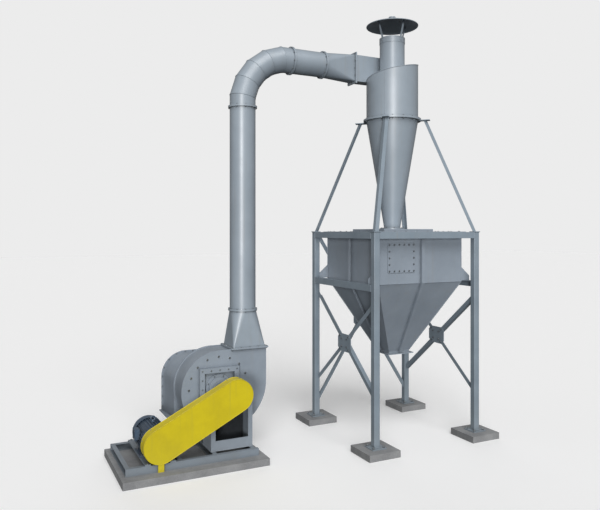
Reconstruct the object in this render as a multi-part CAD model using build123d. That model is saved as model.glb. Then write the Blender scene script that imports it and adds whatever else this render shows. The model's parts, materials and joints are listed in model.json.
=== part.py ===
from build123d import *
from math import asin, cos, degrees, radians, sin, sqrt

# Cyclone dust separator: a belt-driven fan blows dusty air up a riser duct into a cyclone,
# which drops its dust into a pyramid hopper on a four-legged stand.
# Millimetres, +Z up, ground at Z = 0, origin in the middle of the footprint, +X from fan to cyclone.

# Layout on the ground
FOOTPRINT_LENGTH = 4340
SHAFT_TO_TOWER = 2270
RISER_FROM_SHAFT = 350
MOTOR_FROM_SHAFT = 758

# Concrete
PAD_SIDE = 400
PAD_HEIGHT = 75
SLAB_LENGTH = 1530
SLAB_FRONT = -500
SLAB_BACK = 570

# Stand
FRAME_HEIGHT = 2400
FRAME_SIDE = 1500
LEG_SIDE = 75
LEG_WALL = 5
LEG_CORNER = 8
BASE_PLATE_SIDE = 180
BASE_PLATE_THICK = 12
CAP_PLATE_SIDE = 90
CAP_PLATE_THICK = 8
RAIL_SIDE = 75
RAIL_THICK = 6
MID_RAIL_DROP = 592

# Cross braces
BRACE_SIDE = 50
BRACE_THICK = 5
GUSSET_THICK = 8
SIDE_BRACE_DROP = 768
SIDE_BRACE_LOW = 480
SIDE_GUSSET_WIDTH = 300
SIDE_GUSSET_HEIGHT = 214
BACK_BRACE_LOW = 192
BACK_GUSSET_WIDTH = 290
BACK_GUSSET_HEIGHT = 330
GUSSET_CHAMFER = 45

# Hopper
HOPPER_SIDE = 1200
HOPPER_WALL = 4
HOPPER_BOX_HEIGHT = 600
PYRAMID_HEIGHT = 870
OUTLET_SIDE = 300
OUTLET_COLLAR = 28
OUTLET_FLANGE_SIDE = 380
OUTLET_FLANGE_THICK = 10
FLANGE_BOLT_RADIUS = 7
BOX_FLANGE = 40
BOX_FLANGE_THICK = 5
RIB_DEPTH = 45
RIB_WIDTH = 40
RIB_THICK = 6
LID_THICK = 6
COVER_SIDE = 720
COVER_HEIGHT = 30
DOOR_WIDTH = 378
DOOR_HEIGHT = 341
DOOR_THICK = 8
DOOR_CORNER = 12
DOOR_CENTRE_X = -285
DOOR_DROP = 300
LUG_THICK = 10
LUG_REACH = 130
LUG_INSET = 12
LUG_WALL_HEIGHT = 172
LUG_TIP_HEIGHT = 60

# Cyclone
BARREL_RADIUS = 323
CYCLONE_WALL = 4
CONE_FOOT_RADIUS = 100
CONE_HEIGHT = 1368
CYCLONE_FLANGE = 37
CYCLONE_FLANGE_THICK = 12
FOOT_FLANGE_RADIUS = 158
BARREL_HEIGHT = 494
INLET_WIDTH = 153
INLET_HEIGHT = 332
INLET_REACH = 437
DUCT_FLANGE = 28
DUCT_FLANGE_THICK = 8
PIPE_OUT_RADIUS = 156
PIPE_OUT_WALL = 3
PIPE_OUT_DIP = 60
PIPE_OUT_RISE = 206
PIPE_BAND_HEIGHT = 70
PIPE_BAND_THICK = 4
CAP_RADIUS = 322
CAP_GAP = 156
CAP_RISE = 121
CAP_THICK = 3
KNOB_RADIUS = 42
KNOB_HEIGHT = 14
STRAP_WIDTH = 26
STRAP_THICK = 4
STRAP_LAP = 55
STRAP_TOP_RADIUS = 225
STRAP_TURN = 7

# Stays from the leg tops to the cyclone
STAY_SIDE = 50
STAY_THICK = 5
STAY_REACH = 60
STAY_TAB_WIDTH = 80
STAY_TAB_REACH = 110
STAY_TAB_THICK = 10

# Duct run
DUCT_RADIUS = 150
DUCT_WALL = 3
DUCT_RING = 18
DUCT_RING_THICK = 11
INLET_TRANSITION_LENGTH = 439
ELBOW_RADIUS = 585
ELBOW_COLLAR = 27
ELBOW_GORES = 5
FAN_TRANSITION_HEIGHT = 425
TRANSITION_CORNER = 6

# Fan casing
SHAFT_HEIGHT = 742
SCROLL_TOP = 401
SCROLL_LEFT = 413
SCROLL_BOTTOM = 490
SCROLL_RIGHT = 564
SCROLL_FIRST_ARC = 425
SCROLL_WIDTH = 332
SCROLL_WALL = 5
SCROLL_PLATE = 6
SCROLL_RIM = 12
SCROLL_NECK = 413
FAN_OUTLET_WIDTH = 390
FAN_OUTLET_FLANGE = 28
FAN_OUTLET_FLANGE_THICK = 9
FAN_EYE_RADIUS = 190
HOOD_HALF_WIDTH = 455
HOOD_TOP = 296
HOOD_LOW = 370
HOOD_DEPTH = 362
HOOD_CORNER = 270
HOOD_FLARE = 40
HOOD_WALL = 4
HOOD_RIM = 18
HOOD_FLANGE = 35
HOOD_FLANGE_THICK = 8
HOOD_BOLT_INSET = 18

# Fan drive
SHAFT_RADIUS = 25
SHAFT_CLEARANCE = 6
WHEEL_RADIUS = 330
WHEEL_BLADES = 10
WHEEL_PLATE = 6
WHEEL_BLADE_WIDTH = 190
WHEEL_GAP = 40
HUB_RADIUS = 60
DRIVE_FRAME_SIDE = 456
DRIVE_FRAME_LEG = 55
DRIVE_FRAME_DEPTH = 46
DRIVE_FRAME_THICK = 6
SEAL_RADIUS = 150
SEAL_STEP_RADIUS = 115
SEAL_HUB_RADIUS = 72
SEAL_THICK = 12
BEARING_DROP = 90
BEARING_LENGTH = 200
BEARING_WIDTH = 56
BEARING_FOOT = 22
BEARING_RADIUS = 58
PEDESTAL_LEFT = 195
PEDESTAL_RIGHT = 275
PEDESTAL_FRONT = -245
PEDESTAL_WALL = 10
PEDESTAL_TOP_THICK = 16
PEDESTAL_POST = 50
PEDESTAL_SILL = 105
PEDESTAL_HEAD = 60
SUPPORT_HALF_WIDTH = 225
SUPPORT_RISE = 90

# Skid
SKID_LENGTH = 1408
SKID_LEFT_MARGIN = 52
SKID_FRONT = -362
SKID_BACK = 490
SKID_HEIGHT = 75
SKID_FLANGE = 45
SKID_THICK = 6

# Motor and belt guard
MOTOR_HEIGHT = 326
MOTOR_RADIUS = 145
MOTOR_FIN = 15
MOTOR_FIN_THICK = 4
MOTOR_FINS = 32
MOTOR_FRONT = -200
MOTOR_SHIELD = 45
MOTOR_BODY = 300
MOTOR_COWL = 95
MOTOR_COWL_WALL = 3
MOTOR_SHAFT_RADIUS = 21
MOTOR_FOOT_HALF = 127
MOTOR_FOOT_WIDTH = 70
MOTOR_FOOT_THICK = 18
SLIDE_RAIL_WIDTH = 60
TERMINAL_SIDE = 105
TERMINAL_DEPTH = 28
GLAND_RADIUS = 11
GLAND_LENGTH = 26
GUARD_RADIUS = 175
GUARD_OFFSET = 55
GUARD_FRONT = -384
GUARD_DEPTH = 131
GUARD_WALL = 3
GUARD_FOOT_WIDTH = 60
GUARD_FOOT_DEPTH = 22

# Levels and positions that follow from the sizes above
LEG_AXIS = (FRAME_SIDE - LEG_SIDE) / 2
LEG_INNER = FRAME_SIDE / 2 - LEG_SIDE
TOWER_X = FOOTPRINT_LENGTH / 2 - LEG_AXIS - PAD_SIDE / 2
SLAB_LEFT = -FOOTPRINT_LENGTH / 2
SHAFT_X = TOWER_X - SHAFT_TO_TOWER
MOTOR_X = SHAFT_X - MOTOR_FROM_SHAFT
RISER_X = SHAFT_X + RISER_FROM_SHAFT
FRAME_TOP = PAD_HEIGHT + FRAME_HEIGHT
SIDE_BRACE_TOP = FRAME_HEIGHT - SIDE_BRACE_DROP
MID_RAIL_TOP = FRAME_TOP - MID_RAIL_DROP
BOX_BOTTOM = FRAME_TOP - HOPPER_BOX_HEIGHT
PYRAMID_BOTTOM = BOX_BOTTOM - PYRAMID_HEIGHT
LID_TOP = FRAME_TOP + LID_THICK
CONE_BOTTOM = LID_TOP + COVER_HEIGHT
CONE_TOP = CONE_BOTTOM + CONE_HEIGHT
INLET_BOTTOM = CONE_TOP + BARREL_HEIGHT
INLET_TOP = INLET_BOTTOM + INLET_HEIGHT
INLET_INNER = BARREL_RADIUS - INLET_WIDTH
INLET_Y = BARREL_RADIUS - INLET_WIDTH / 2
INLET_Z = INLET_BOTTOM + INLET_HEIGHT / 2
INLET_ANGLE = 180 - degrees(asin(INLET_INNER / BARREL_RADIUS))
PIPE_OUT_TOP = INLET_TOP + PIPE_OUT_RISE
CAP_RIM = PIPE_OUT_TOP + CAP_GAP
CAP_APEX = CAP_RIM + CAP_RISE
INLET_FACE_X = TOWER_X - INLET_REACH
STRAIGHT_END_X = INLET_FACE_X - INLET_TRANSITION_LENGTH
ELBOW_LENGTH = ELBOW_RADIUS + ELBOW_COLLAR
ELBOW_END_X = RISER_X + ELBOW_LENGTH
STRAIGHT_LENGTH = STRAIGHT_END_X - ELBOW_END_X
RISER_TOP = INLET_Z - ELBOW_LENGTH
STAY_TOP_RADIUS = BARREL_RADIUS + CYCLONE_FLANGE + STAY_REACH
STAY_TAB_END = BARREL_RADIUS + CYCLONE_FLANGE + STAY_TAB_REACH
SCROLL_FRONT = INLET_Y - SCROLL_WIDTH / 2
SCROLL_BACK = INLET_Y + SCROLL_WIDTH / 2
FAN_NECK_Z = SHAFT_HEIGHT + SCROLL_NECK
RISER_BOTTOM = FAN_NECK_Z + FAN_TRANSITION_HEIGHT
FAN_OUTLET_LEFT = SCROLL_RIGHT - FAN_OUTLET_WIDTH
SKID_TOP = PAD_HEIGHT + SKID_HEIGHT
SKID_LEFT = SLAB_LEFT + SKID_LEFT_MARGIN
PEDESTAL_TOP = SHAFT_HEIGHT - BEARING_DROP
PEDESTAL_BACK = SCROLL_FRONT - DRIVE_FRAME_DEPTH
MOTOR_FOOT_Z = MOTOR_HEIGHT - MOTOR_RADIUS - MOTOR_FIN
MOTOR_SHIELD_BACK = MOTOR_FRONT + MOTOR_SHIELD + MOTOR_BODY
GUARD_BACK = GUARD_FRONT + GUARD_DEPTH

CORNERS = [(x, y) for x in (-1, 1) for y in (-1, 1)]
TOWER = Pos(TOWER_X, 0, 0)
FAN = Pos(SHAFT_X, 0, SHAFT_HEIGHT)


def save(name, *solids):
    """Write one node: a single solid, or several like ones that stand apart."""
    shape = solids[0] if len(solids) == 1 else Compound(children=list(solids))
    export_step(shape, f"parts/{name}.step")


def span(x, y, z):
    """A box between pairs of limits on each axis."""
    size = [abs(limit[1] - limit[0]) for limit in (x, y, z)]
    middle = [(limit[0] + limit[1]) / 2 for limit in (x, y, z)]
    return Pos(*middle) * Box(*size)


def tube(radius, wall, bottom, top):
    """An upright pipe on the Z axis."""
    bore = Pos(0, 0, (bottom + top) / 2) * Cylinder(radius - wall, top - bottom)
    return Pos(0, 0, (bottom + top) / 2) * Cylinder(radius, top - bottom) - bore


def frame_plate(outer, inner, bottom, top):
    """A rectangular ring, outer and inner given as (x size, y size)."""
    ring = Rectangle(*outer) - Rectangle(*inner)
    return Pos(0, 0, bottom) * extrude(ring, top - bottom)


def cylinder_y(radius, front, back):
    """A round bar along Y on the X = Z = 0 line."""
    return Pos(0, (front + back) / 2, 0) * Rot(90, 0, 0) * Cylinder(radius, back - front)


def side_profile(sketch, front, back):
    """Extrude a sketch drawn as (x, z) between two Y limits."""
    return Pos(0, back, 0) * extrude(Rot(90, 0, 0) * sketch, back - front)


def polygon(*points):
    """A flat face through the points."""
    return make_face(Polyline(*points, close=True))


def angle_section(side, thick):
    """An angle-iron section: a flat leg centred on the line and a leg standing up at its edge."""
    half = side / 2
    inner = half - thick
    return polygon((-half, 0), (half, 0), (half, side), (inner, side), (inner, thick), (-half, thick))


def bar(start, end, section, across):
    """Extrude a section from one point to another, its X axis laid across."""
    run = Vector(*end) - Vector(*start)
    return extrude(Plane(origin=start, x_dir=across, z_dir=run) * section, run.length)


def transition_wire(width, depth, corner):
    """A rectangle with small round corners, as four sides and four corners in turn."""
    x = width / 2
    y = depth / 2
    edges = []
    for turn, (reach, half) in enumerate(((x, y), (y, x), (x, y), (y, x))):
        side = Line((reach, corner - half), (reach, half - corner))
        bend = CenterArc((reach - corner, half - corner), corner, 0, 90)
        edges += [Rot(0, 0, 90 * turn) * side.edge(), Rot(0, 0, 90 * turn) * bend.edge()]
    return Wire(edges)


def round_wire(radius, flat):
    """A circle cut into short arcs facing the sides and long arcs facing the corners."""
    edges = []
    for turn in range(4):
        edges.append(CenterArc((0, 0), radius, 90 * turn - flat, 2 * flat).edge())
        edges.append(CenterArc((0, 0), radius, 90 * turn + flat, 90 - 2 * flat).edge())
    return Wire(edges)


def square_to_round(width, depth, radius, length, shift, wall):
    """A sheet transition along +Z from a rectangle at Z = 0 to a circle moved sideways by shift."""
    def body(inset):
        low = transition_wire(width - 2 * inset, depth - 2 * inset, TRANSITION_CORNER)
        high = Pos(shift, 0, length) * round_wire(radius - inset, 3)
        return Solid.make_loft([low, high], ruled=True)
    return body(0) - body(wall)


# Concrete pads, one under each leg, and the fan slab
pad = Pos(0, 0, PAD_HEIGHT / 2) * Box(PAD_SIDE, PAD_SIDE, PAD_HEIGHT)
save("concrete_pads", *[TOWER * Pos(x * LEG_AXIS, y * LEG_AXIS, 0) * pad for x, y in CORNERS])
save("fan_slab", span((SLAB_LEFT, SLAB_LEFT + SLAB_LENGTH), (SLAB_FRONT, SLAB_BACK), (0, PAD_HEIGHT)))

# Legs of square tube between their base plates and cap plates
leg_foot = PAD_HEIGHT + BASE_PLATE_THICK
leg_bore = LEG_SIDE - 2 * LEG_WALL
leg_ring = RectangleRounded(LEG_SIDE, LEG_SIDE, LEG_CORNER)
leg_ring -= RectangleRounded(leg_bore, leg_bore, LEG_CORNER - LEG_WALL)
leg = Pos(0, 0, leg_foot) * extrude(leg_ring, FRAME_TOP - leg_foot)
base_plate = Pos(0, 0, PAD_HEIGHT) * extrude(Rectangle(BASE_PLATE_SIDE, BASE_PLATE_SIDE), BASE_PLATE_THICK)
cap_plate = Pos(0, 0, FRAME_TOP) * extrude(Rectangle(CAP_PLATE_SIDE, CAP_PLATE_SIDE), CAP_PLATE_THICK)
for name, piece in (("legs", leg), ("leg_base_plates", base_plate), ("leg_cap_plates", cap_plate)):
    save(name, *[TOWER * Pos(x * LEG_AXIS, y * LEG_AXIS, 0) * piece for x, y in CORNERS])

# Angle rails flush with the outside of the legs: all round the top, left and right at the hopper's waist
outside = FRAME_SIDE / 2


def rail(top):
    """The front rail, its corner outward and up."""
    upright = span((-LEG_INNER, LEG_INNER), (-outside, RAIL_THICK - outside), (top - RAIL_SIDE, top))
    shelf = span((-LEG_INNER, LEG_INNER), (-outside, RAIL_SIDE - outside), (top - RAIL_THICK, top))
    return upright + shelf


save("top_rails", *[TOWER * Rot(0, 0, turn) * rail(FRAME_TOP) for turn in (0, 90, 180, 270)])
save("hopper_rails", *[TOWER * Rot(0, 0, turn) * rail(MID_RAIL_TOP) for turn in (90, 270)])

# Cross braces: two angles, one on each face of a middle gusset, cut to the legs
gusset_face = outside - BRACE_SIDE
brace_section = angle_section(BRACE_SIDE, BRACE_THICK)


def cross_brace(top, low, ceiling):
    """Both diagonals of the front side."""
    bay = span((-LEG_INNER, LEG_INNER), (-outside, 0), (0, ceiling))
    bars = []
    for sense, depth, lean in ((1, gusset_face, -1), (-1, gusset_face - GUSSET_THICK, 1)):
        start = (-sense * LEG_AXIS, -depth, PAD_HEIGHT + low)
        end = (sense * LEG_AXIS, -depth, PAD_HEIGHT + top)
        across = Vector(0, lean, 0).cross(Vector(*end) - Vector(*start))
        bars.append(bar(start, end, brace_section, across) & bay)
    return bars


def gusset(width, height, middle):
    """The middle plate between the diagonals of the front side."""
    plate = chamfer(Rectangle(width, height).vertices(), GUSSET_CHAMFER)
    return Pos(0, 0, PAD_HEIGHT + middle) * side_profile(plate, -gusset_face, GUSSET_THICK - gusset_face)


side_brace = cross_brace(SIDE_BRACE_TOP, SIDE_BRACE_LOW, MID_RAIL_TOP - RAIL_SIDE)
save("left_braces", *[TOWER * Rot(0, 0, 270) * piece for piece in side_brace])
save("right_braces", *[TOWER * Rot(0, 0, 90) * piece for piece in side_brace])
back_brace = cross_brace(FRAME_HEIGHT, BACK_BRACE_LOW, FRAME_TOP - RAIL_SIDE)
save("back_braces", *[TOWER * Rot(0, 0, 180) * piece for piece in back_brace])
side_gusset = gusset(SIDE_GUSSET_WIDTH, SIDE_GUSSET_HEIGHT, (SIDE_BRACE_TOP + SIDE_BRACE_LOW) / 2)
back_gusset = gusset(BACK_GUSSET_WIDTH, BACK_GUSSET_HEIGHT, (FRAME_HEIGHT + BACK_BRACE_LOW) / 2)
gussets = [Rot(0, 0, 90) * side_gusset, Rot(0, 0, 270) * side_gusset, Rot(0, 0, 180) * back_gusset]
save("brace_gussets", *[TOWER * piece for piece in gussets])

# Hopper box: four sheet walls with a flange turned out at the top
hopper_inside = HOPPER_SIDE - 2 * HOPPER_WALL
box_walls = frame_plate((HOPPER_SIDE, HOPPER_SIDE), (hopper_inside, hopper_inside), BOX_BOTTOM, FRAME_TOP)
lid_side = HOPPER_SIDE + 2 * BOX_FLANGE
rib_top = FRAME_TOP - BOX_FLANGE_THICK
box_flange = frame_plate((lid_side, lid_side), (hopper_inside, hopper_inside), rib_top, FRAME_TOP)
save("hopper_box", TOWER * (box_walls + box_flange))

# Hopper pyramid with its outlet collar and bolted flange
outlet_inside = OUTLET_SIDE - 2 * HOPPER_WALL
collar_bottom = PYRAMID_BOTTOM - OUTLET_COLLAR
flange_bottom = collar_bottom - OUTLET_FLANGE_THICK
outer_skin = loft([Pos(0, 0, PYRAMID_BOTTOM) * Rectangle(OUTLET_SIDE, OUTLET_SIDE),
                   Pos(0, 0, BOX_BOTTOM) * Rectangle(HOPPER_SIDE, HOPPER_SIDE)])
inner_skin = loft([Pos(0, 0, PYRAMID_BOTTOM) * Rectangle(outlet_inside, outlet_inside),
                   Pos(0, 0, BOX_BOTTOM) * Rectangle(hopper_inside, hopper_inside)])
outlet_hole = (outlet_inside, outlet_inside)
collar = frame_plate((OUTLET_SIDE, OUTLET_SIDE), outlet_hole, collar_bottom, PYRAMID_BOTTOM)
outlet_size = (OUTLET_FLANGE_SIDE, OUTLET_FLANGE_SIDE)
outlet_flange = frame_plate(outlet_size, outlet_hole, flange_bottom, collar_bottom)
bolt_hole = Pos(0, 0, flange_bottom) * Cylinder(FLANGE_BOLT_RADIUS, 4 * OUTLET_FLANGE_THICK)
half_pitch = (OUTLET_SIDE + OUTLET_FLANGE_SIDE) / 4
outlet_holes = [Pos(x * half_pitch, y * half_pitch, 0) * bolt_hole for x, y in CORNERS]
save("hopper_pyramid", TOWER * (outer_skin - inner_skin + collar + (outlet_flange - outlet_holes)))

# Stiffening angles down the middle of each hopper face, one leg on the sheet and one facing out
wall_line = HOPPER_SIDE / 2
outlet_line = OUTLET_SIDE / 2


def rib_strip(inner, outer):
    """A strip between two distances from the hopper's face, bent where the pyramid begins."""
    upper = ((wall_line + inner, rib_top), (wall_line + outer, rib_top), (wall_line + outer, BOX_BOTTOM))
    lower = ((outlet_line + outer, PYRAMID_BOTTOM), (outlet_line + inner, PYRAMID_BOTTOM))
    return polygon(*upper, *lower, (wall_line + inner, BOX_BOTTOM))


rib = side_profile(rib_strip(0, RIB_DEPTH), -RIB_WIDTH / 2, RIB_THICK - RIB_WIDTH / 2)
rib += side_profile(rib_strip(RIB_DEPTH - RIB_THICK, RIB_DEPTH), -RIB_WIDTH / 2, RIB_WIDTH / 2)
save("hopper_ribs", *[TOWER * Rot(0, 0, turn) * rib for turn in (0, 90, 180, 270)])

# Lugs that carry the hopper on its rails
lug_end = wall_line + LUG_REACH
lug_outline = polygon((wall_line, MID_RAIL_TOP), (lug_end, MID_RAIL_TOP),
                      (lug_end, MID_RAIL_TOP + LUG_TIP_HEIGHT), (wall_line, MID_RAIL_TOP + LUG_WALL_HEIGHT))
lug = side_profile(lug_outline, -LUG_THICK / 2, LUG_THICK / 2)
lug_y = wall_line - LUG_INSET
lugs = [Rot(0, 0, turn) * Pos(0, y * lug_y, 0) * lug for turn in (0, 180) for y in (-1, 1)]
save("hopper_lugs", *[TOWER * piece for piece in lugs])

# Lid, raised cover and bolted access plate
drop_radius = CONE_FOOT_RADIUS - CYCLONE_WALL
drop_hole = Pos(0, 0, LID_TOP) * Cylinder(drop_radius, 4 * COVER_HEIGHT)
lid = Pos(0, 0, FRAME_TOP + LID_THICK / 2) * Box(lid_side, lid_side, LID_THICK)
save("hopper_lid", TOWER * (lid - drop_hole))
cover_inside = COVER_SIDE - 2 * LID_THICK
cover_skirt = frame_plate((COVER_SIDE, COVER_SIDE), (cover_inside, cover_inside), LID_TOP, CONE_BOTTOM)
cover_deck = Pos(0, 0, CONE_BOTTOM - LID_THICK / 2) * Box(COVER_SIDE, COVER_SIDE, LID_THICK)
save("lid_cover", TOWER * (cover_skirt + cover_deck - drop_hole))
door_z = FRAME_TOP - DOOR_DROP
door_outline = RectangleRounded(DOOR_WIDTH, DOOR_HEIGHT, DOOR_CORNER)
door = Pos(DOOR_CENTRE_X, 0, door_z) * side_profile(door_outline, -wall_line - DOOR_THICK, -wall_line)
save("access_plate", TOWER * door)

# Cyclone cone with a flange at each end
cone_inner_foot = CONE_FOOT_RADIUS - CYCLONE_WALL
barrel_inside = BARREL_RADIUS - CYCLONE_WALL
ring_radius = BARREL_RADIUS + CYCLONE_FLANGE
foot_top = CONE_BOTTOM + CYCLONE_FLANGE_THICK
neck_bottom = CONE_TOP - CYCLONE_FLANGE_THICK
cone_outline = polygon((cone_inner_foot, CONE_BOTTOM), (FOOT_FLANGE_RADIUS, CONE_BOTTOM),
                       (FOOT_FLANGE_RADIUS, foot_top), (CONE_FOOT_RADIUS, foot_top),
                       (BARREL_RADIUS, neck_bottom), (ring_radius, neck_bottom), (ring_radius, CONE_TOP),
                       (barrel_inside, CONE_TOP), (barrel_inside, neck_bottom), (cone_inner_foot, foot_top))
cone = revolve(Rot(90, 0, 0) * cone_outline, Axis.Z)
save("cyclone_cone", TOWER * cone)

# Helical roof: it falls one inlet height from the top of the inlet round to the bottom of it
roof_turn = 450 - INLET_ANGLE
roof_fall = INLET_HEIGHT - CYCLONE_WALL


def helix_solid(inner, outer, thick):
    """A band of the given radii and thickness that rides the roof's helix."""
    path = Helix(roof_fall * 360 / roof_turn, roof_fall, BARREL_RADIUS, center=(0, 0, INLET_BOTTOM))
    section = polygon((inner, 0), (outer, 0), (outer, thick), (inner, thick))
    start = Pos(0, 0, INLET_BOTTOM) * Rot(90, 0, 0) * section
    return Rot(0, 0, INLET_ANGLE) * sweep(start, path=path, is_frenet=True)


save("helical_roof", TOWER * helix_solid(PIPE_OUT_RADIUS, BARREL_RADIUS, CYCLONE_WALL))

# Cyclone barrel, cut away above the roof and where the inlet comes in
barrel = tube(BARREL_RADIUS, CYCLONE_WALL, CONE_TOP, INLET_TOP - CYCLONE_WALL)
barrel_ring = tube(ring_radius, ring_radius - barrel_inside, CONE_TOP, CONE_TOP + CYCLONE_FLANGE_THICK)
above_roof = helix_solid(barrel_inside - CYCLONE_FLANGE, ring_radius, INLET_HEIGHT + CYCLONE_WALL)
mouth_reach = 2 * BARREL_RADIUS
mouth_end = (mouth_reach * cos(radians(INLET_ANGLE)), mouth_reach * sin(radians(INLET_ANGLE)))
mouth_plan = polygon((0, 0), (0, mouth_reach), (mouth_end[0], mouth_reach), mouth_end)
mouth = Pos(0, 0, INLET_BOTTOM) * extrude(mouth_plan, INLET_HEIGHT)
save("cyclone_barrel", TOWER * (barrel + barrel_ring - above_roof - mouth))

# Tangential inlet: floor, roof and side walls; its inner wall runs on to the outlet pipe, above a low shelf
inlet_box = span((-INLET_REACH, 0), (INLET_INNER, BARREL_RADIUS), (INLET_BOTTOM, INLET_TOP))
inlet_void = span((-2 * INLET_REACH, 0), (INLET_INNER + CYCLONE_WALL, BARREL_RADIUS - CYCLONE_WALL),
                  (INLET_BOTTOM + CYCLONE_WALL, INLET_TOP - CYCLONE_WALL))
round_void = Pos(0, 0, INLET_Z) * Cylinder(barrel_inside, 2 * INLET_HEIGHT)
pipe_core = Pos(0, 0, INLET_Z) * Cylinder(PIPE_OUT_RADIUS, 2 * INLET_HEIGHT)
roof_disc = Pos(0, 0, INLET_TOP - CYCLONE_WALL / 2) * Cylinder(BARREL_RADIUS, CYCLONE_WALL)
inlet = inlet_box - inlet_void - round_void
inlet += roof_disc & inlet_box
inlet += inlet_box & span((-INLET_REACH, 0), (0, INLET_INNER + CYCLONE_WALL), (INLET_BOTTOM, INLET_TOP))
inlet += span((-CYCLONE_WALL, 0), (0, INLET_INNER), (INLET_BOTTOM, INLET_TOP)) - pipe_core
shelf_plan = polygon((0, 0), (0, INLET_INNER), (BARREL_RADIUS * cos(radians(INLET_ANGLE)), INLET_INNER))
inlet += Pos(0, 0, INLET_BOTTOM) * extrude(shelf_plan, CYCLONE_WALL) - pipe_core
inlet_rim = (INLET_WIDTH + 2 * DUCT_FLANGE, INLET_HEIGHT + 2 * DUCT_FLANGE)
inlet_hole = (INLET_WIDTH - 2 * CYCLONE_WALL, INLET_HEIGHT - 2 * CYCLONE_WALL)
inlet_flange = Rot(0, 0, 90) * Rot(90, 0, 0) * frame_plate(inlet_rim, inlet_hole, 0, DUCT_FLANGE_THICK)
inlet += Pos(-INLET_REACH, INLET_Y, INLET_Z) * inlet_flange
save("cyclone_inlet", TOWER * inlet)

# Clean-air outlet pipe with the band its rain cap hangs on
outlet_pipe = tube(PIPE_OUT_RADIUS, PIPE_OUT_WALL, INLET_BOTTOM - PIPE_OUT_DIP, PIPE_OUT_TOP)
band_radius = PIPE_OUT_RADIUS + PIPE_BAND_THICK
outlet_band = tube(band_radius, PIPE_BAND_THICK, PIPE_OUT_TOP - PIPE_BAND_HEIGHT, PIPE_OUT_TOP)
save("outlet_pipe", TOWER * (outlet_pipe + outlet_band))

# Rain cap and its four straps
cap_slope = CAP_RISE / CAP_RADIUS
cap_inner = CAP_APEX - CAP_THICK
cap_edge = CAP_RIM - CAP_THICK
cap_outline = polygon((0, cap_inner), (CAP_RADIUS, cap_edge), (CAP_RADIUS, CAP_RIM), (0, CAP_APEX))
cap = revolve(Rot(90, 0, 0) * cap_outline, Axis.Z)
knob = Pos(0, 0, CAP_APEX - KNOB_HEIGHT / 2) * Cylinder(KNOB_RADIUS, KNOB_HEIGHT)
cap_under = revolve(Rot(90, 0, 0) * polygon((0, cap_inner), (CAP_RADIUS, cap_edge), (0, 0)), Axis.Z)
save("rain_cap", TOWER * (cap + (knob - cap_under)))
strap_low = PIPE_OUT_TOP - STRAP_LAP
strap_top = cap_inner - cap_slope * STRAP_TOP_RADIUS + STRAP_WIDTH
strap_line = Polyline((band_radius, strap_low), (band_radius, PIPE_OUT_TOP), (STRAP_TOP_RADIUS, strap_top))
strap_face = make_face(offset(strap_line, STRAP_THICK, side=Side.RIGHT))
strap = side_profile(strap_face, -STRAP_WIDTH / 2, STRAP_WIDTH / 2) & cap_under
band_core = Pos(0, 0, PIPE_OUT_TOP) * Cylinder(band_radius, 4 * STRAP_LAP)
strap = Rot(0, 0, STRAP_TURN) * (strap - band_core)
save("cap_straps", *[TOWER * Rot(0, 0, turn) * strap for turn in (0, 90, 180, 270)])

# Stays: a tab under the cyclone flange above each leg, and an angle from the tab down to the leg's cap plate
tab_top = CONE_TOP - CYCLONE_FLANGE_THICK
tab_bottom = tab_top - STAY_TAB_THICK
cone_core = revolve(Rot(90, 0, 0) * polygon((0, CONE_BOTTOM), (CONE_FOOT_RADIUS, foot_top),
                                            (BARREL_RADIUS, neck_bottom), (0, neck_bottom)), Axis.Z)
tab_start = BARREL_RADIUS - STAY_TAB_WIDTH
tab_half = STAY_TAB_WIDTH / 2
tab = span((tab_start, STAY_TAB_END), (-tab_half, tab_half), (tab_bottom, tab_top)) - cone_core
save("stay_tabs", *[TOWER * Rot(0, 0, turn) * tab for turn in (45, 135, 225, 315)])
stay_foot = FRAME_TOP + CAP_PLATE_THICK
leg_radius = LEG_AXIS * sqrt(2)
stay_run = (leg_radius - STAY_TOP_RADIUS) / (tab_bottom - stay_foot)
stay_section = Rot(0, 0, 135) * Pos(0, -STAY_SIDE / 4) * angle_section(STAY_SIDE, STAY_THICK)
stay_low = (leg_radius + stay_run * STAY_SIDE, 0, stay_foot - STAY_SIDE)
stay_high = (STAY_TOP_RADIUS - stay_run * STAY_SIDE, 0, tab_bottom + STAY_SIDE)
stay_bay = span((0, 2 * leg_radius), (-2 * STAY_SIDE, 2 * STAY_SIDE), (stay_foot, tab_bottom))
stay = bar(stay_low, stay_high, stay_section, (0, 1, 0)) & stay_bay
save("stays", *[TOWER * Rot(0, 0, turn) * stay for turn in (45, 135, 225, 315)])

# Duct pieces, each with its own end rings
ring_outer = DUCT_RADIUS + DUCT_RING
duct_bore = DUCT_RADIUS - DUCT_WALL


def duct_ring(bottom, top):
    """The flange ring round one end of a round duct."""
    return tube(ring_outer, ring_outer - duct_bore, bottom, top)


# Transition from the inlet flange to the round duct
inlet_end = INLET_TRANSITION_LENGTH
inlet_sheet = square_to_round(INLET_WIDTH, INLET_HEIGHT, DUCT_RADIUS, inlet_end, 0, DUCT_WALL)
inlet_sheet += frame_plate(inlet_rim, inlet_hole, 0, DUCT_FLANGE_THICK)
inlet_sheet += duct_ring(inlet_end - DUCT_RING_THICK, inlet_end)
save("inlet_transition", Pos(INLET_FACE_X, INLET_Y, INLET_Z) * Rot(0, 0, -90) * Rot(90, 0, 0) * inlet_sheet)

# Straight length
straight = tube(DUCT_RADIUS, DUCT_WALL, 0, STRAIGHT_LENGTH) + duct_ring(0, DUCT_RING_THICK)
straight += duct_ring(STRAIGHT_LENGTH - DUCT_RING_THICK, STRAIGHT_LENGTH)
save("straight_duct", Pos(ELBOW_END_X, INLET_Y, INLET_Z) * Rot(0, 90, 0) * straight)

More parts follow.
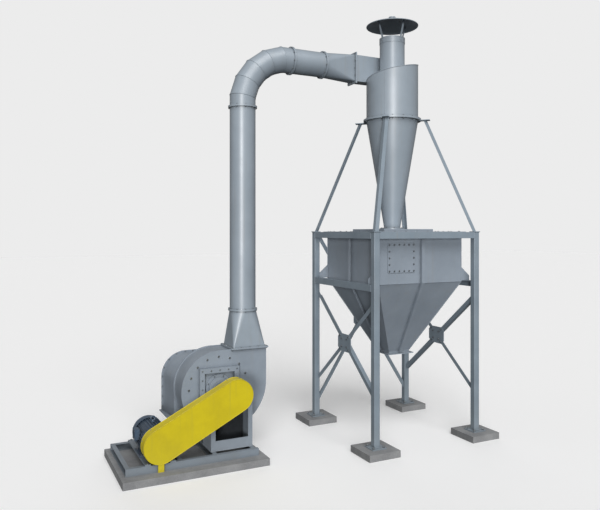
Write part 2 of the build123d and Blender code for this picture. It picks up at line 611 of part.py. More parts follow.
# Gored elbow: straight tubes mitred along the tangents of the bend
gore_angle = 90 / ELBOW_GORES
bend_x = RISER_X + ELBOW_RADIUS
bend_z = INLET_Z - ELBOW_RADIUS
miter_radius = ELBOW_RADIUS / cos(radians(gore_angle / 2))
elbow_points = [(RISER_X, INLET_Y, RISER_TOP)]
for gore in range(ELBOW_GORES):
    aim = radians(180 - gore_angle * (gore + 0.5))
    elbow_points.append((bend_x + miter_radius * cos(aim), INLET_Y, bend_z + miter_radius * sin(aim)))
elbow_points.append((ELBOW_END_X, INLET_Y, INLET_Z))
elbow_path = Polyline(*elbow_points)
elbow_start = Pos(RISER_X, INLET_Y, RISER_TOP)
elbow = sweep(elbow_start * Circle(DUCT_RADIUS), path=elbow_path, transition=Transition.RIGHT)
elbow -= sweep(elbow_start * Circle(duct_bore), path=elbow_path, transition=Transition.RIGHT)
elbow += elbow_start * duct_ring(0, DUCT_RING_THICK)
elbow += Pos(ELBOW_END_X, INLET_Y, INLET_Z) * Rot(0, 90, 0) * duct_ring(-DUCT_RING_THICK, 0)
save("gored_elbow", elbow)

# Riser
riser = tube(DUCT_RADIUS, DUCT_WALL, RISER_BOTTOM, RISER_TOP)
riser += duct_ring(RISER_BOTTOM, RISER_BOTTOM + DUCT_RING_THICK)
riser += duct_ring(RISER_TOP - DUCT_RING_THICK, RISER_TOP)
save("riser_duct", Pos(RISER_X, INLET_Y, 0) * riser)

# Fan outlet transition
outlet_middle = SCROLL_RIGHT - FAN_OUTLET_WIDTH / 2
fan_shift = RISER_FROM_SHAFT - outlet_middle
fan_end = FAN_TRANSITION_HEIGHT
fan_sheet = square_to_round(FAN_OUTLET_WIDTH, SCROLL_WIDTH, DUCT_RADIUS, fan_end, fan_shift, DUCT_WALL)
fan_rim = (FAN_OUTLET_WIDTH + 2 * FAN_OUTLET_FLANGE, SCROLL_WIDTH + 2 * FAN_OUTLET_FLANGE)
fan_hole = (FAN_OUTLET_WIDTH - 2 * SCROLL_WALL, SCROLL_WIDTH - 2 * SCROLL_PLATE)
fan_sheet += frame_plate(fan_rim, fan_hole, 0, FAN_OUTLET_FLANGE_THICK)
fan_sheet += Pos(fan_shift, 0, 0) * duct_ring(fan_end - DUCT_RING_THICK, fan_end)
save("fan_transition", Pos(SHAFT_X + outlet_middle, INLET_Y, FAN_NECK_Z) * fan_sheet)

# Fan scroll drawn about the shaft: three arcs that open out from the top, round the left, to the outlet
first_x = SCROLL_FIRST_ARC - SCROLL_LEFT
first_z = SCROLL_TOP - SCROLL_FIRST_ARC
second_arc = SCROLL_BOTTOM + first_z
second_x = second_arc - SCROLL_LEFT
third_arc = SCROLL_RIGHT - second_x
third_z = third_arc - SCROLL_BOTTOM


def scroll_face(grow):
    """The scroll's side outline, moved outwards by grow."""
    first = CenterArc((first_x, first_z), SCROLL_FIRST_ARC + grow, 90, 90)
    second = CenterArc((second_x, first_z), second_arc + grow, 180, 90)
    third = CenterArc((second_x, third_z), third_arc + grow, 270, 90)
    right = Line(third @ 1, (SCROLL_RIGHT + grow, SCROLL_NECK))
    neck = Line(right @ 1, (FAN_OUTLET_LEFT - grow, SCROLL_NECK))
    left = Line(neck @ 1, (FAN_OUTLET_LEFT - grow, SCROLL_TOP + grow))
    lip = Line(left @ 1, first @ 0)
    return make_face([first, second, third, right, neck, left, lip])


def plate_face():
    """A side plate: the scroll outline with a rim all round, cut level at the neck."""
    reach = 4 * SCROLL_RIGHT
    trim = Pos(0, SCROLL_NECK - reach / 2) * Rectangle(reach, reach)
    return (scroll_face(0) + offset(scroll_face(0), SCROLL_RIM)) & trim


wrap_front = SCROLL_FRONT + SCROLL_PLATE
wrap_back = SCROLL_BACK - SCROLL_PLATE
wrap = side_profile(scroll_face(0), wrap_front, wrap_back)
scroll_cavity = side_profile(scroll_face(-SCROLL_WALL), wrap_front, wrap_back)
mouth_cut = span((FAN_OUTLET_LEFT + SCROLL_WALL, SCROLL_RIGHT - SCROLL_WALL), (wrap_front, wrap_back),
                 (SCROLL_TOP - SCROLL_WALL, SCROLL_NECK + 1))
front_plate = side_profile(plate_face(), SCROLL_FRONT, wrap_front)
back_plate = side_profile(plate_face(), wrap_back, SCROLL_BACK)
wrap_flange = Pos(outlet_middle, INLET_Y, 0) * frame_plate(
    fan_rim, fan_hole, SCROLL_NECK - FAN_OUTLET_FLANGE_THICK, SCROLL_NECK)
save("scroll_wrap", FAN * (wrap - scroll_cavity - mouth_cut - wrap_flange))
save("scroll_outlet_flange", FAN * wrap_flange)
front_plate -= wrap_flange
back_plate -= wrap_flange
shaft_hole = cylinder_y(SHAFT_RADIUS + SHAFT_CLEARANCE, PEDESTAL_FRONT, SCROLL_BACK)
save("scroll_front_plate", FAN * (front_plate - shaft_hole))
fan_eye = cylinder_y(FAN_EYE_RADIUS, wrap_back - SCROLL_RIM, SCROLL_BACK + SCROLL_RIM)
save("scroll_back_plate", FAN * (back_plate - fan_eye))

# Suction hood behind the scroll: it flares towards its rim and is open underneath with a bolted flange
hood_back = SCROLL_BACK + HOOD_DEPTH


def hood_face(grow):
    """The hood's outline: straight sides and round shoulders."""
    side = HOOD_HALF_WIDTH + grow
    top = HOOD_TOP + grow
    walls = polygon((-side, -HOOD_LOW), (side, -HOOD_LOW), (side, top), (-side, top))
    return fillet(walls.vertices().group_by(Axis.Y)[-1], HOOD_CORNER + grow)


def hood_body(grow, front, back):
    """The flared body between two Y limits, its outline moved outwards by grow."""
    narrow = Pos(0, front, 0) * Rot(90, 0, 0) * hood_face(grow - HOOD_FLARE)
    wide = Pos(0, back, 0) * Rot(90, 0, 0) * hood_face(grow)
    return loft([narrow, wide], ruled=True)


hood_shell = hood_body(0, SCROLL_BACK, hood_back)
hood_room = hood_body(-HOOD_WALL, SCROLL_BACK + HOOD_WALL, hood_back - HOOD_WALL)
hood_rim = side_profile(hood_face(HOOD_RIM), hood_back - HOOD_WALL, hood_back)
hood_wide = HOOD_HALF_WIDTH - HOOD_WALL
hood_narrow = hood_wide - HOOD_FLARE
hood_plan = polygon((-hood_narrow, SCROLL_BACK + HOOD_WALL), (hood_narrow, SCROLL_BACK + HOOD_WALL),
                    (hood_wide, hood_back - HOOD_WALL), (-hood_wide, hood_back - HOOD_WALL))
hood_edge = HOOD_HALF_WIDTH + HOOD_FLANGE
hood_under = (-HOOD_LOW - HOOD_FLANGE_THICK, -HOOD_LOW)
hood_ring = span((-hood_edge, hood_edge), (SCROLL_BACK, hood_back + HOOD_FLANGE), hood_under)
hood_ring -= Pos(0, 0, hood_under[0]) * extrude(hood_plan, HOOD_FLANGE_THICK)
hood_bolt_x = HOOD_HALF_WIDTH + HOOD_BOLT_INSET
hood_bolt_y = (SCROLL_BACK + HOOD_BOLT_INSET, hood_back + HOOD_BOLT_INSET)
hood_hole = Pos(0, 0, -HOOD_LOW) * Cylinder(FLANGE_BOLT_RADIUS, 4 * HOOD_FLANGE_THICK)
hood_holes = [Pos(x * hood_bolt_x, y, 0) * hood_hole for x in (-1, 1) for y in hood_bolt_y]
save("suction_hood", FAN * (hood_shell + hood_rim - hood_room - fan_eye + (hood_ring - hood_holes)))

# Fan shaft and the paddle wheel on it
wheel_front = wrap_front + WHEEL_GAP
blade_start = wheel_front + WHEEL_PLATE
blade_end = blade_start + WHEEL_BLADE_WIDTH
wheel = cylinder_y(WHEEL_RADIUS, wheel_front, blade_start) + cylinder_y(HUB_RADIUS, wheel_front, blade_end)
blade = span((0, WHEEL_RADIUS), (wheel_front, blade_end), (-WHEEL_PLATE / 2, WHEEL_PLATE / 2))
for number in range(WHEEL_BLADES):
    wheel += Rot(0, 360 / WHEEL_BLADES * number, 0) * blade
shaft_front = GUARD_FRONT + GUARD_DEPTH / 4
fan_shaft = cylinder_y(SHAFT_RADIUS, shaft_front, blade_end)
save("fan_wheel", FAN * (wheel - fan_shaft))
save("fan_shaft", FAN * fan_shaft)

# Square angle frame and stepped seal plate on the drive side of the scroll
frame_inner = DRIVE_FRAME_SIDE - 2 * DRIVE_FRAME_LEG
frame_skin = DRIVE_FRAME_SIDE - 2 * DRIVE_FRAME_THICK
frame_face = Rectangle(DRIVE_FRAME_SIDE, DRIVE_FRAME_SIDE) - Rectangle(frame_inner, frame_inner)
frame_edge = Rectangle(DRIVE_FRAME_SIDE, DRIVE_FRAME_SIDE) - Rectangle(frame_skin, frame_skin)
drive_frame = side_profile(frame_face, PEDESTAL_BACK, PEDESTAL_BACK + DRIVE_FRAME_THICK)
drive_frame += side_profile(frame_edge, PEDESTAL_BACK, SCROLL_FRONT)
save("drive_frame", FAN * drive_frame)
seal = cylinder_y(SEAL_RADIUS, SCROLL_FRONT - SEAL_THICK, SCROLL_FRONT)
seal += cylinder_y(SEAL_STEP_RADIUS, SCROLL_FRONT - 2 * SEAL_THICK, SCROLL_FRONT)
seal += cylinder_y(SEAL_HUB_RADIUS, SCROLL_FRONT - 3 * SEAL_THICK, SCROLL_FRONT)
save("shaft_seal", FAN * (seal - shaft_hole))

# Bearing pedestal: a plate box, open underneath, with a window in its front
pedestal_x = (-PEDESTAL_LEFT, PEDESTAL_RIGHT)
pedestal_room = (PEDESTAL_WALL - PEDESTAL_LEFT, PEDESTAL_RIGHT - PEDESTAL_WALL)
pedestal_window = (PEDESTAL_POST - PEDESTAL_LEFT, PEDESTAL_RIGHT - PEDESTAL_POST)
pedestal_inside = PEDESTAL_FRONT + PEDESTAL_WALL
pedestal = span(pedestal_x, (PEDESTAL_FRONT, PEDESTAL_BACK), (SKID_TOP, PEDESTAL_TOP))
pedestal_ceiling = PEDESTAL_TOP - PEDESTAL_TOP_THICK
pedestal -= span(pedestal_room, (pedestal_inside, PEDESTAL_BACK - PEDESTAL_WALL), (0, pedestal_ceiling))
window_z = (SKID_TOP + PEDESTAL_SILL, PEDESTAL_TOP - PEDESTAL_HEAD)
pedestal -= span(pedestal_window, (PEDESTAL_FRONT - 1, pedestal_inside), window_z)
save("bearing_pedestal", Pos(SHAFT_X, 0, 0) * pedestal)

# Two bearing blocks on the pedestal
bearing_half = BEARING_WIDTH / 2
bearing = span((-BEARING_LENGTH / 2, BEARING_LENGTH / 2), (-bearing_half, bearing_half),
               (-BEARING_DROP, BEARING_FOOT - BEARING_DROP))
bearing += span((-BEARING_RADIUS, BEARING_RADIUS), (-bearing_half, bearing_half), (-BEARING_DROP, 0))
bearing += cylinder_y(BEARING_RADIUS, -bearing_half, bearing_half)
bearing -= cylinder_y(SHAFT_RADIUS, -BEARING_WIDTH, BEARING_WIDTH)
bearing_y = (PEDESTAL_FRONT + BEARING_WIDTH, PEDESTAL_BACK - BEARING_WIDTH)
save("shaft_bearings", *[FAN * Pos(0, y, 0) * bearing for y in bearing_y])

# Foot plate under the back of the scroll
support_x = (second_x - SUPPORT_HALF_WIDTH, second_x + SUPPORT_HALF_WIDTH)
support_top = SHAFT_HEIGHT - SCROLL_BOTTOM + SUPPORT_RISE
support = span(support_x, (wrap_back - PEDESTAL_WALL, wrap_back), (SKID_TOP, support_top))
scroll_block = Pos(0, 0, SHAFT_HEIGHT) * (wrap + back_plate)
save("scroll_foot", Pos(SHAFT_X, 0, 0) * (support - scroll_block))

# Skid: two long channels and the channels across between them
def channel(length):
    """A channel along +X, its back on Y = 0 and its flanges towards +Y."""
    body = span((0, length), (0, SKID_FLANGE), (PAD_HEIGHT, SKID_TOP))
    inside = (PAD_HEIGHT + SKID_THICK, SKID_TOP - SKID_THICK)
    return body - span((-1, length + 1), (SKID_THICK, SKID_FLANGE + 1), inside)


front_rail = Pos(SKID_LEFT, SKID_FRONT, 0) * channel(SKID_LENGTH)
back_rail = Pos(SKID_LEFT + SKID_LENGTH, SKID_BACK, 0) * Rot(0, 0, 180) * channel(SKID_LENGTH)
save("skid_rails", front_rail, back_rail)
cross_length = SKID_BACK - SKID_FRONT - 2 * SKID_FLANGE
cross = Pos(0, SKID_FRONT + SKID_FLANGE, 0) * Rot(0, 0, 90) * channel(cross_length)
cross_x = [SKID_LEFT + SKID_FLANGE, MOTOR_X + MOTOR_FOOT_HALF + SKID_FLANGE + SLIDE_RAIL_WIDTH,
           SHAFT_X - PEDESTAL_LEFT + SKID_FLANGE, SHAFT_X + PEDESTAL_RIGHT]
save("skid_crossers", *[Pos(x, 0, 0) * cross for x in cross_x])

# Motor: finned body, end shields, feet and shaft
MOTOR = Pos(MOTOR_X, 0, MOTOR_HEIGHT)
body_front = MOTOR_FRONT + MOTOR_SHIELD
motor = cylinder_y(MOTOR_RADIUS, MOTOR_FRONT, MOTOR_SHIELD_BACK)
fin = Box(MOTOR_RADIUS + MOTOR_FIN, MOTOR_BODY, MOTOR_FIN_THICK, align=(Align.MIN, Align.MIN, Align.CENTER))
fin = Pos(0, body_front, 0) * fin
for number in range(MOTOR_FINS):
    motor += Rot(0, 360 / MOTOR_FINS * (number + 0.5), 0) * fin
foot_depth = MOTOR_BODY - MOTOR_SHIELD
motor_axis_drop = MOTOR_HEIGHT - MOTOR_FOOT_Z
foot_x = (MOTOR_FOOT_HALF - MOTOR_FOOT_WIDTH / 2, MOTOR_FOOT_HALF + MOTOR_FOOT_WIDTH / 2)
foot_y = (body_front + MOTOR_SHIELD / 2, body_front + MOTOR_SHIELD / 2 + foot_depth)
foot = span(foot_x, foot_y, (-motor_axis_drop, MOTOR_FOOT_THICK - motor_axis_drop))
foot += span((foot_x[0], foot_x[0] + MOTOR_FOOT_THICK), foot_y, (-motor_axis_drop, -MOTOR_RADIUS / 2))
motor += [foot, Rot(0, 0, 180) * Pos(0, -sum(foot_y), 0) * foot]
motor += cylinder_y(MOTOR_SHAFT_RADIUS, shaft_front, MOTOR_FRONT)
save("motor", MOTOR * motor)
cowl_radius = MOTOR_RADIUS + MOTOR_FIN
cowl_back = MOTOR_SHIELD_BACK + MOTOR_COWL
cowl = cylinder_y(cowl_radius, MOTOR_SHIELD_BACK, cowl_back)
cowl -= cylinder_y(cowl_radius - MOTOR_COWL_WALL, MOTOR_SHIELD_BACK - 1, cowl_back - MOTOR_COWL_WALL)
save("motor_cowl", MOTOR * cowl)

# Terminal box on the motor's outer side, with its cable gland underneath
terminal_x = (-MOTOR_RADIUS - MOTOR_FIN - TERMINAL_DEPTH, -MOTOR_RADIUS)
terminal_y = MOTOR_FRONT + MOTOR_SHIELD + MOTOR_BODY / 2
terminal_half = TERMINAL_SIDE / 2
terminal = span(terminal_x, (terminal_y - terminal_half, terminal_y + terminal_half), (0, TERMINAL_SIDE))
gland = Cylinder(GLAND_RADIUS, GLAND_LENGTH, align=(Align.CENTER, Align.CENTER, Align.MAX))
gland = Pos(terminal_x[0] + TERMINAL_DEPTH / 2, terminal_y, 0) * gland
save("terminal_box", MOTOR * (terminal + gland - motor))

# Slide rails under the motor feet
slide_half = SLIDE_RAIL_WIDTH / 2
slide = span((-slide_half, slide_half), (SKID_FRONT, SKID_BACK), (SKID_TOP, MOTOR_FOOT_Z))
save("motor_slides", *[Pos(MOTOR_X + x * MOTOR_FOOT_HALF, 0, 0) * slide for x in (-1, 1)])

# Belt guard: a round-ended tray over both pulleys, a back plate and a foot
guard_run = Vector(-MOTOR_FROM_SHAFT, MOTOR_HEIGHT - SHAFT_HEIGHT)


def guard_face(radius):
    """The round-ended outline round the fan pulley, off its shaft, and the motor pulley."""
    ends = Pos(GUARD_OFFSET, 0) * Circle(radius) + Pos(guard_run.X, guard_run.Y) * Circle(radius)
    return make_hull(ends.edges())


guard = side_profile(guard_face(GUARD_RADIUS), GUARD_FRONT, GUARD_BACK - GUARD_WALL)
guard -= side_profile(guard_face(GUARD_RADIUS - GUARD_WALL), GUARD_FRONT + GUARD_WALL, GUARD_BACK)
guard_foot_z = (PAD_HEIGHT - SHAFT_HEIGHT, guard_run.Y - GUARD_RADIUS / 2)
guard_foot = span((guard_run.X - GUARD_FOOT_WIDTH / 2, guard_run.X + GUARD_FOOT_WIDTH / 2),
                  (GUARD_FRONT, GUARD_FRONT + GUARD_FOOT_DEPTH), guard_foot_z)
guard += guard_foot - side_profile(guard_face(GUARD_RADIUS), GUARD_FRONT, GUARD_BACK)
save("belt_guard", FAN * guard)
guard_back = side_profile(guard_face(GUARD_RADIUS), GUARD_BACK - GUARD_WALL, GUARD_BACK)
guard_back -= cylinder_y(SHAFT_RADIUS + SHAFT_CLEARANCE, GUARD_FRONT, 0)
motor_hole = cylinder_y(MOTOR_SHAFT_RADIUS + SHAFT_CLEARANCE, GUARD_FRONT, 0)
guard_back -= Pos(guard_run.X, 0, guard_run.Y) * motor_hole
save("guard_back_plate", FAN * guard_back)
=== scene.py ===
"""Cyclone dust separator: finishes, fasteners and weld beads over the solids, and the studio."""

import json
import logging
import math
import random
from abc import ABC, abstractmethod
from dataclasses import dataclass, field
from enum import Enum
from typing import Any, ClassVar, Optional, Sequence

import bpy
from mathutils import Matrix, Vector


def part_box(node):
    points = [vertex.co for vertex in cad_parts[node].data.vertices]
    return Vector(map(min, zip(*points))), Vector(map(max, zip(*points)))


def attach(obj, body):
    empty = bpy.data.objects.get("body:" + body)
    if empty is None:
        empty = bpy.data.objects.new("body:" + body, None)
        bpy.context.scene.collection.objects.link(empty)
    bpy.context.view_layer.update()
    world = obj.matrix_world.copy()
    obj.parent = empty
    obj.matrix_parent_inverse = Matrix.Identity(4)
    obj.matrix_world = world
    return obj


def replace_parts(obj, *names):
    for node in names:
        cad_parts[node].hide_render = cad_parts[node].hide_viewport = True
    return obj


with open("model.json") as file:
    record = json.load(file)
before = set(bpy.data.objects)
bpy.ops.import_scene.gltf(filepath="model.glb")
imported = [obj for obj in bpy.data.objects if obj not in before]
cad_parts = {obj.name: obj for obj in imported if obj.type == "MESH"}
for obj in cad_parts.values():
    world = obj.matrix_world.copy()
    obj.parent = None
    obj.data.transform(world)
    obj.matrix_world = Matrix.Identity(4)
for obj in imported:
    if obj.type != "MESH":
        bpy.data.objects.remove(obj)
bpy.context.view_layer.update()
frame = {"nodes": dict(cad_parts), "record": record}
LOG = logging.getLogger("cyclone")

Colour = tuple[float, float, float, float]
Names = tuple[str, ...]
Pair = tuple[float, float]
Profile = tuple[Pair, ...]
Socket = bpy.types.NodeSocket

X = Vector((1.0, 0.0, 0.0))
Y = Vector((0.0, 1.0, 0.0))
Z = Vector((0.0, 0.0, 1.0))
SQUARE_SIGNS = ((-1, -1), (1, -1), (1, 1), (-1, 1))

# Mean radii of weld beads, and how far a fastener sinks into its surface, in metres
THIN_BEAD, LIGHT_BEAD, FILLET_BEAD, HEAVY_BEAD = 0.003, 0.004, 0.0045, 0.005
SINK = 0.0005


class Slot(Enum):
    """The record's material slots."""

    CONCRETE = "concrete"
    STAND = "stand_paint"
    HOPPER = "hopper_paint"
    CYCLONE = "cyclone_paint"
    DUCT = "duct_paint"
    FAN = "fan_paint"
    SKID = "skid_paint"
    STEEL = "machined_steel"
    BEARING = "bearing_iron"
    MOTOR = "motor_enamel"
    GUARD = "guard_yellow"


class HexSize(Enum):
    """Hex fasteners: width across flats, head height, washer radius, thread radius, in metres."""

    M8 = (0.013, 0.0053, 0.0080, 0.0040)
    M10 = (0.017, 0.0064, 0.0100, 0.0050)
    M12 = (0.019, 0.0075, 0.0120, 0.0060)
    M16 = (0.024, 0.0100, 0.0150, 0.0080)


def linear(code: str) -> Colour:
    """Turn an sRGB hex colour into linear RGBA.

    Args:
        code: Six hex digits after a hash.

    Returns:
        Red, green, blue and a full alpha, as Blender's colour sockets take them.
    """
    shares = [int(code[at:at + 2], 16) / 255 for at in (1, 3, 5)]
    red, green, blue = (s / 12.92 if s <= 0.04045 else ((s + 0.055) / 1.055) ** 2.4 for s in shares)
    return red, green, blue, 1.0


def per_metre(size_mm: float) -> float:
    """The texture scale at which one feature is size_mm across."""
    return 1000.0 / size_mm


def place_on(point: Vector, axis: Vector) -> Matrix:
    """The matrix that stands local Z along axis, with its origin at point."""
    return Matrix.Translation(point) @ axis.to_track_quat("Z", "Y").to_matrix().to_4x4()


def box_of(node: str) -> tuple[Vector, Vector]:
    """A CAD node's lowest and highest corners, as vectors."""
    low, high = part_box(node)
    return Vector(low), Vector(high)


def middle_of(node: str) -> Vector:
    """The middle of a CAD node's box."""
    low, high = box_of(node)
    return (low + high) / 2


def axis_of(node: str) -> Vector:
    """Where the upright middle line of a CAD node's box meets the ground."""
    middle = middle_of(node)
    return Vector((middle.x, middle.y, 0.0))


def feet_of(node: str, inset: float) -> list[Vector]:
    """Four points inset from the corners of a CAD node's footprint, at its lowest level."""
    low, high = box_of(node)
    return [Vector((x, y, low.z)) for x in (low.x + inset, high.x - inset)
            for y in (low.y + inset, high.y - inset)]


def square(middle: Vector, half: float) -> list[Vector]:
    """The corners of a level square about a middle point."""
    return [middle + half * Vector((x, y, 0)) for x, y in SQUARE_SIGNS]


def steps(start: float, end: float, count: int) -> list[float]:
    """Evenly spaced values from start to end, both included."""
    return [start + (end - start) * at / (count - 1) for at in range(count)]


def turns(count: int, phase: float = 0.0) -> list[float]:
    """Angles of even steps round a circle, in radians, all moved on by a share of one step."""
    return [math.tau / count * (at + phase) for at in range(count)]


def upright_circle(centre: Vector, radius: float, count: int, phase: float = 0.0) -> list[Vector]:
    """Even points on a circle about an axis along Y, all moved on by a share of one step."""
    return [centre + Vector((radius * math.cos(turn), 0.0, radius * math.sin(turn)))
            for turn in turns(count, phase)]


def rim_spots(wide: Pair, tall: Pair,
              counts: tuple[int, int]) -> list[Pair]:
    """Evenly spaced spots round a rectangle, each once.

    Args:
        wide: Its two limits across.
        tall: Its two limits up.
        counts: How many spots lie along a side, across and up.

    Returns:
        Pairs of distances across and up, sorted.
    """
    spots = {(across, up) for across in steps(*wide, counts[0]) for up in tall}
    return sorted(spots | {(across, up) for across in wide for up in steps(*tall, counts[1])})


@dataclass(frozen=True)
class AngleSection:
    """A rolled equal angle."""

    side: float = 0.050  # width of each leg
    thick: float = 0.005  # thickness of each leg
    root: float = 0.005  # reach of the fillet in its root
    toe: float = 0.002  # rounding of the legs' ends

    def outline(self) -> list[Pair]:
        """The section's corners from the heel: distances along the first and the second leg."""
        side, thick, toe = self.side, self.thick, self.toe
        root = thick + self.root
        bend = thick + 0.3 * self.root
        lower = [(0.0, 0.0), (side, 0.0), (side, thick - toe), (side - toe, thick),
                 (root, thick), (bend, bend)]
        return lower + [(b, a) for a, b in lower[4:0:-1]]


@dataclass
class MeshDraft:
    """The points and faces of one piece while it is drawn."""

    points: list[Vector] = field(default_factory=list)  # vertex places in the row frame
    faces: list[tuple[int, ...]] = field(default_factory=list)  # vertex numbers of each face
    # the seeded draw behind the uneven width of weld beads
    chance: random.Random = field(default_factory=lambda: random.Random(7))

    def loft(self, rings: Sequence[Sequence[Vector]], closed: bool = False) -> None:
        """Skin a row of rings, and cap both ends unless the row closes on itself.

        Args:
            rings: Rings of equally many points, counter-clockwise about the row's direction.
            closed: True where the last ring joins the first.
        """
        first, count, rows = len(self.points), len(rings[0]), len(rings)
        for ring in rings:
            self.points.extend(ring)
        for row in range(rows if closed else rows - 1):
            low = first + row * count
            high = first + (row + 1) % rows * count
            for at in range(count):
                after = (at + 1) % count
                self.faces.append((low + at, low + after, high + after, high + at))
        if not closed:
            self.faces.append(tuple(range(first + count - 1, first - 1, -1)))
            self.faces.append(tuple(range(first + (rows - 1) * count, first + rows * count)))

    def turned(self, place: Matrix, profile: Sequence[Pair], sides: int) -> None:
        """Spin a profile about the local Z axis of a place.

        Args:
            place: Where the turned piece's own axes lie.
            profile: Pairs of radius and height, from the foot up.
            sides: How many sides the round has.
        """
        self.loft([[place @ Vector((radius * math.cos(turn), radius * math.sin(turn), height))
                    for turn in turns(sides)] for radius, height in profile])

    def hex_head(self, point: Vector, axis: Vector, size: HexSize) -> float:
        """A washer and a chamfered hex head standing on a surface.

        Args:
            point: Where the bolt's axis meets the surface.
            axis: The way the head stands up.
            size: The fastener's size.

        Returns:
            The level inside the head's top from which a thread may stand out.
        """
        flats, height, washer, _ = size.value
        corner = flats / math.sqrt(3)
        lift = 0.12 * flats
        place = place_on(point, axis)
        self.turned(place, ((washer, -SINK), (washer, 0.85 * lift), (0.94 * washer, lift)), 16)
        self.turned(place, ((corner, lift), (corner, lift + 0.8 * height),
                            (0.88 * corner, lift + height)), 6)
        return lift + 0.98 * height

    def nut(self, point: Vector, axis: Vector, size: HexSize) -> None:
        """A washer, a nut and the bolt's thread end standing out of it.

        Args:
            point: Where the bolt's axis meets the surface.
            axis: The way the thread points.
            size: The fastener's size.
        """
        thread = size.value[3]
        top = self.hex_head(point, axis, size)
        self.turned(place_on(point, axis), ((thread, top), (thread, top + 0.6 * thread),
                                            (0.75 * thread, top + thread)), 10)

    def through_bolt(self, point: Vector, axis: Vector, grip: float, size: HexSize) -> None:
        """A head on one face of a joint and a nut on the other.

        Args:
            point: Where the bolt's axis meets the head's face.
            axis: The way the head stands up.
            grip: Thickness of the joint.
            size: The fastener's size.
        """
        self.hex_head(point, axis, size)
        self.nut(point - axis * grip, -axis, size)

    def dome(self, point: Vector, axis: Vector, radius: float) -> None:
        """A round rivet or screw head standing on a surface.

        Args:
            point: Where the rivet's axis meets the surface.
            axis: The way the head stands up.
            radius: The head's radius.
        """
        arc = [math.radians(angle) for angle in (0, 25, 50, 72)]
        crown = [(radius * math.cos(a), 0.62 * radius * math.sin(a)) for a in arc]
        self.turned(place_on(point, axis), [(radius, -SINK)] + crown, 14)

    def bead(self, path: Sequence[Vector], up: Vector, radius: float, closed: bool = False,
             ripple: float = 0.14) -> None:
        """A weld bead or rolled wire along a path.

        Args:
            path: Points along its middle line.
            up: A direction that is never along the path.
            radius: Its mean radius.
            closed: True where the path closes on itself.
            ripple: The share by which the radius varies from point to point.
        """
        rings = []
        count = len(path)
        for at, point in enumerate(path):
            before = path[at - 1] if at or closed else point
            after = path[(at + 1) % count] if at < count - 1 or closed else point
            along = (after - before).normalized()
            side = along.cross(up).normalized()
            rise = side.cross(along)
            reach = radius * (1 + self.chance.uniform(-ripple, ripple))
            rings.append([point + reach * (math.cos(turn) * side + math.sin(turn) * rise)
                          for turn in (math.tau * corner / 8 for corner in range(8, 0, -1))])
        self.loft(rings, closed)

    def seam(self, start: Vector, end: Vector, up: Vector, radius: float, pitch: float = 0.012) -> None:
        """A straight weld bead between two points.

        Args:
            start: One end.
            end: The other end.
            up: A direction that is not along the seam.
            radius: The bead's mean radius.
            pitch: Distance between its ripples.
        """
        count = max(3, int((end - start).length / pitch))
        self.bead([start.lerp(end, at / (count - 1)) for at in range(count)], up, radius)

    def rectangle_seam(self, corners: Sequence[Vector], radius: float) -> None:
        """Straight weld beads between the corners of a level rectangle."""
        for at, corner in enumerate(corners):
            self.seam(corner, corners[(at + 1) % len(corners)], Z, radius)

    def plate(self, low: Vector, high: Vector, edge: float) -> None:
        """A plate with its four upright edges and its top and bottom edges bevelled.

        Args:
            low: Lowest corner.
            high: Highest corner.
            edge: Width of the bevel.
        """
        def outline(inset: float, level: float) -> list[Vector]:
            """The eight-cornered outline at one level, moved in by inset."""
            left, right = low.x + inset, high.x - inset
            front, back = low.y + inset, high.y - inset
            return [Vector(spot + (level,)) for spot in (
                (left + edge, front), (right - edge, front), (right, front + edge), (right, back - edge),
                (right - edge, back), (left + edge, back), (left, back - edge), (left, front + edge))]
        self.loft([outline(edge, low.z), outline(0, low.z + edge),
                   outline(0, high.z - edge), outline(edge, high.z)])

    def angle_bar(self, section: AngleSection, line: tuple[Vector, Vector],
                  legs: tuple[Vector, Vector], cuts: tuple[Vector, float, float]) -> None:
        """A rolled angle along a line, with both ends cut to parallel planes.

        Args:
            section: The angle's section.
            line: A point of the heel's line, and its direction.
            legs: The ways the two legs go from the heel.
            cuts: The planes' normal, and how far along it each plane lies.
        """
        heel, run = line
        first, second = legs
        normal, near, far = cuts
        corners = [heel + a * first + b * second for a, b in section.outline()]
        if first.cross(second).dot(run) * run.dot(normal) * (far - near) < 0:
            corners.reverse()
        self.loft([[spot + run * ((level - spot.dot(normal)) / run.dot(normal)) for spot in corners]
                   for level in (near, far)])

    def piece(self, name: str, material: bpy.types.Material, slot: Slot,
              sharp: float = 35.0) -> bpy.types.Object:
        """Turn the draft into a piece that rides on the plant.

        Args:
            name: The piece's name.
            material: Its finish.
            slot: The record's slot the finish belongs to; not used.
            sharp: Edges turned by more than this many degrees stay sharp.

        Returns:
            The finished object.
        """
        mesh = bpy.data.meshes.new(name)
        mesh.from_pydata([tuple(point) for point in self.points], [], self.faces)
        mesh.polygons.foreach_set("use_smooth", [True] * len(mesh.polygons))
        mesh.set_sharp_from_angle(angle=math.radians(sharp))
        mesh.materials.append(material)
        mesh.update()
        made = bpy.data.objects.new(name, mesh)
        bpy.context.scene.collection.objects.link(made)
        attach(made, "root")
        LOG.info("made %s: %d faces", name, len(mesh.polygons))
        return made


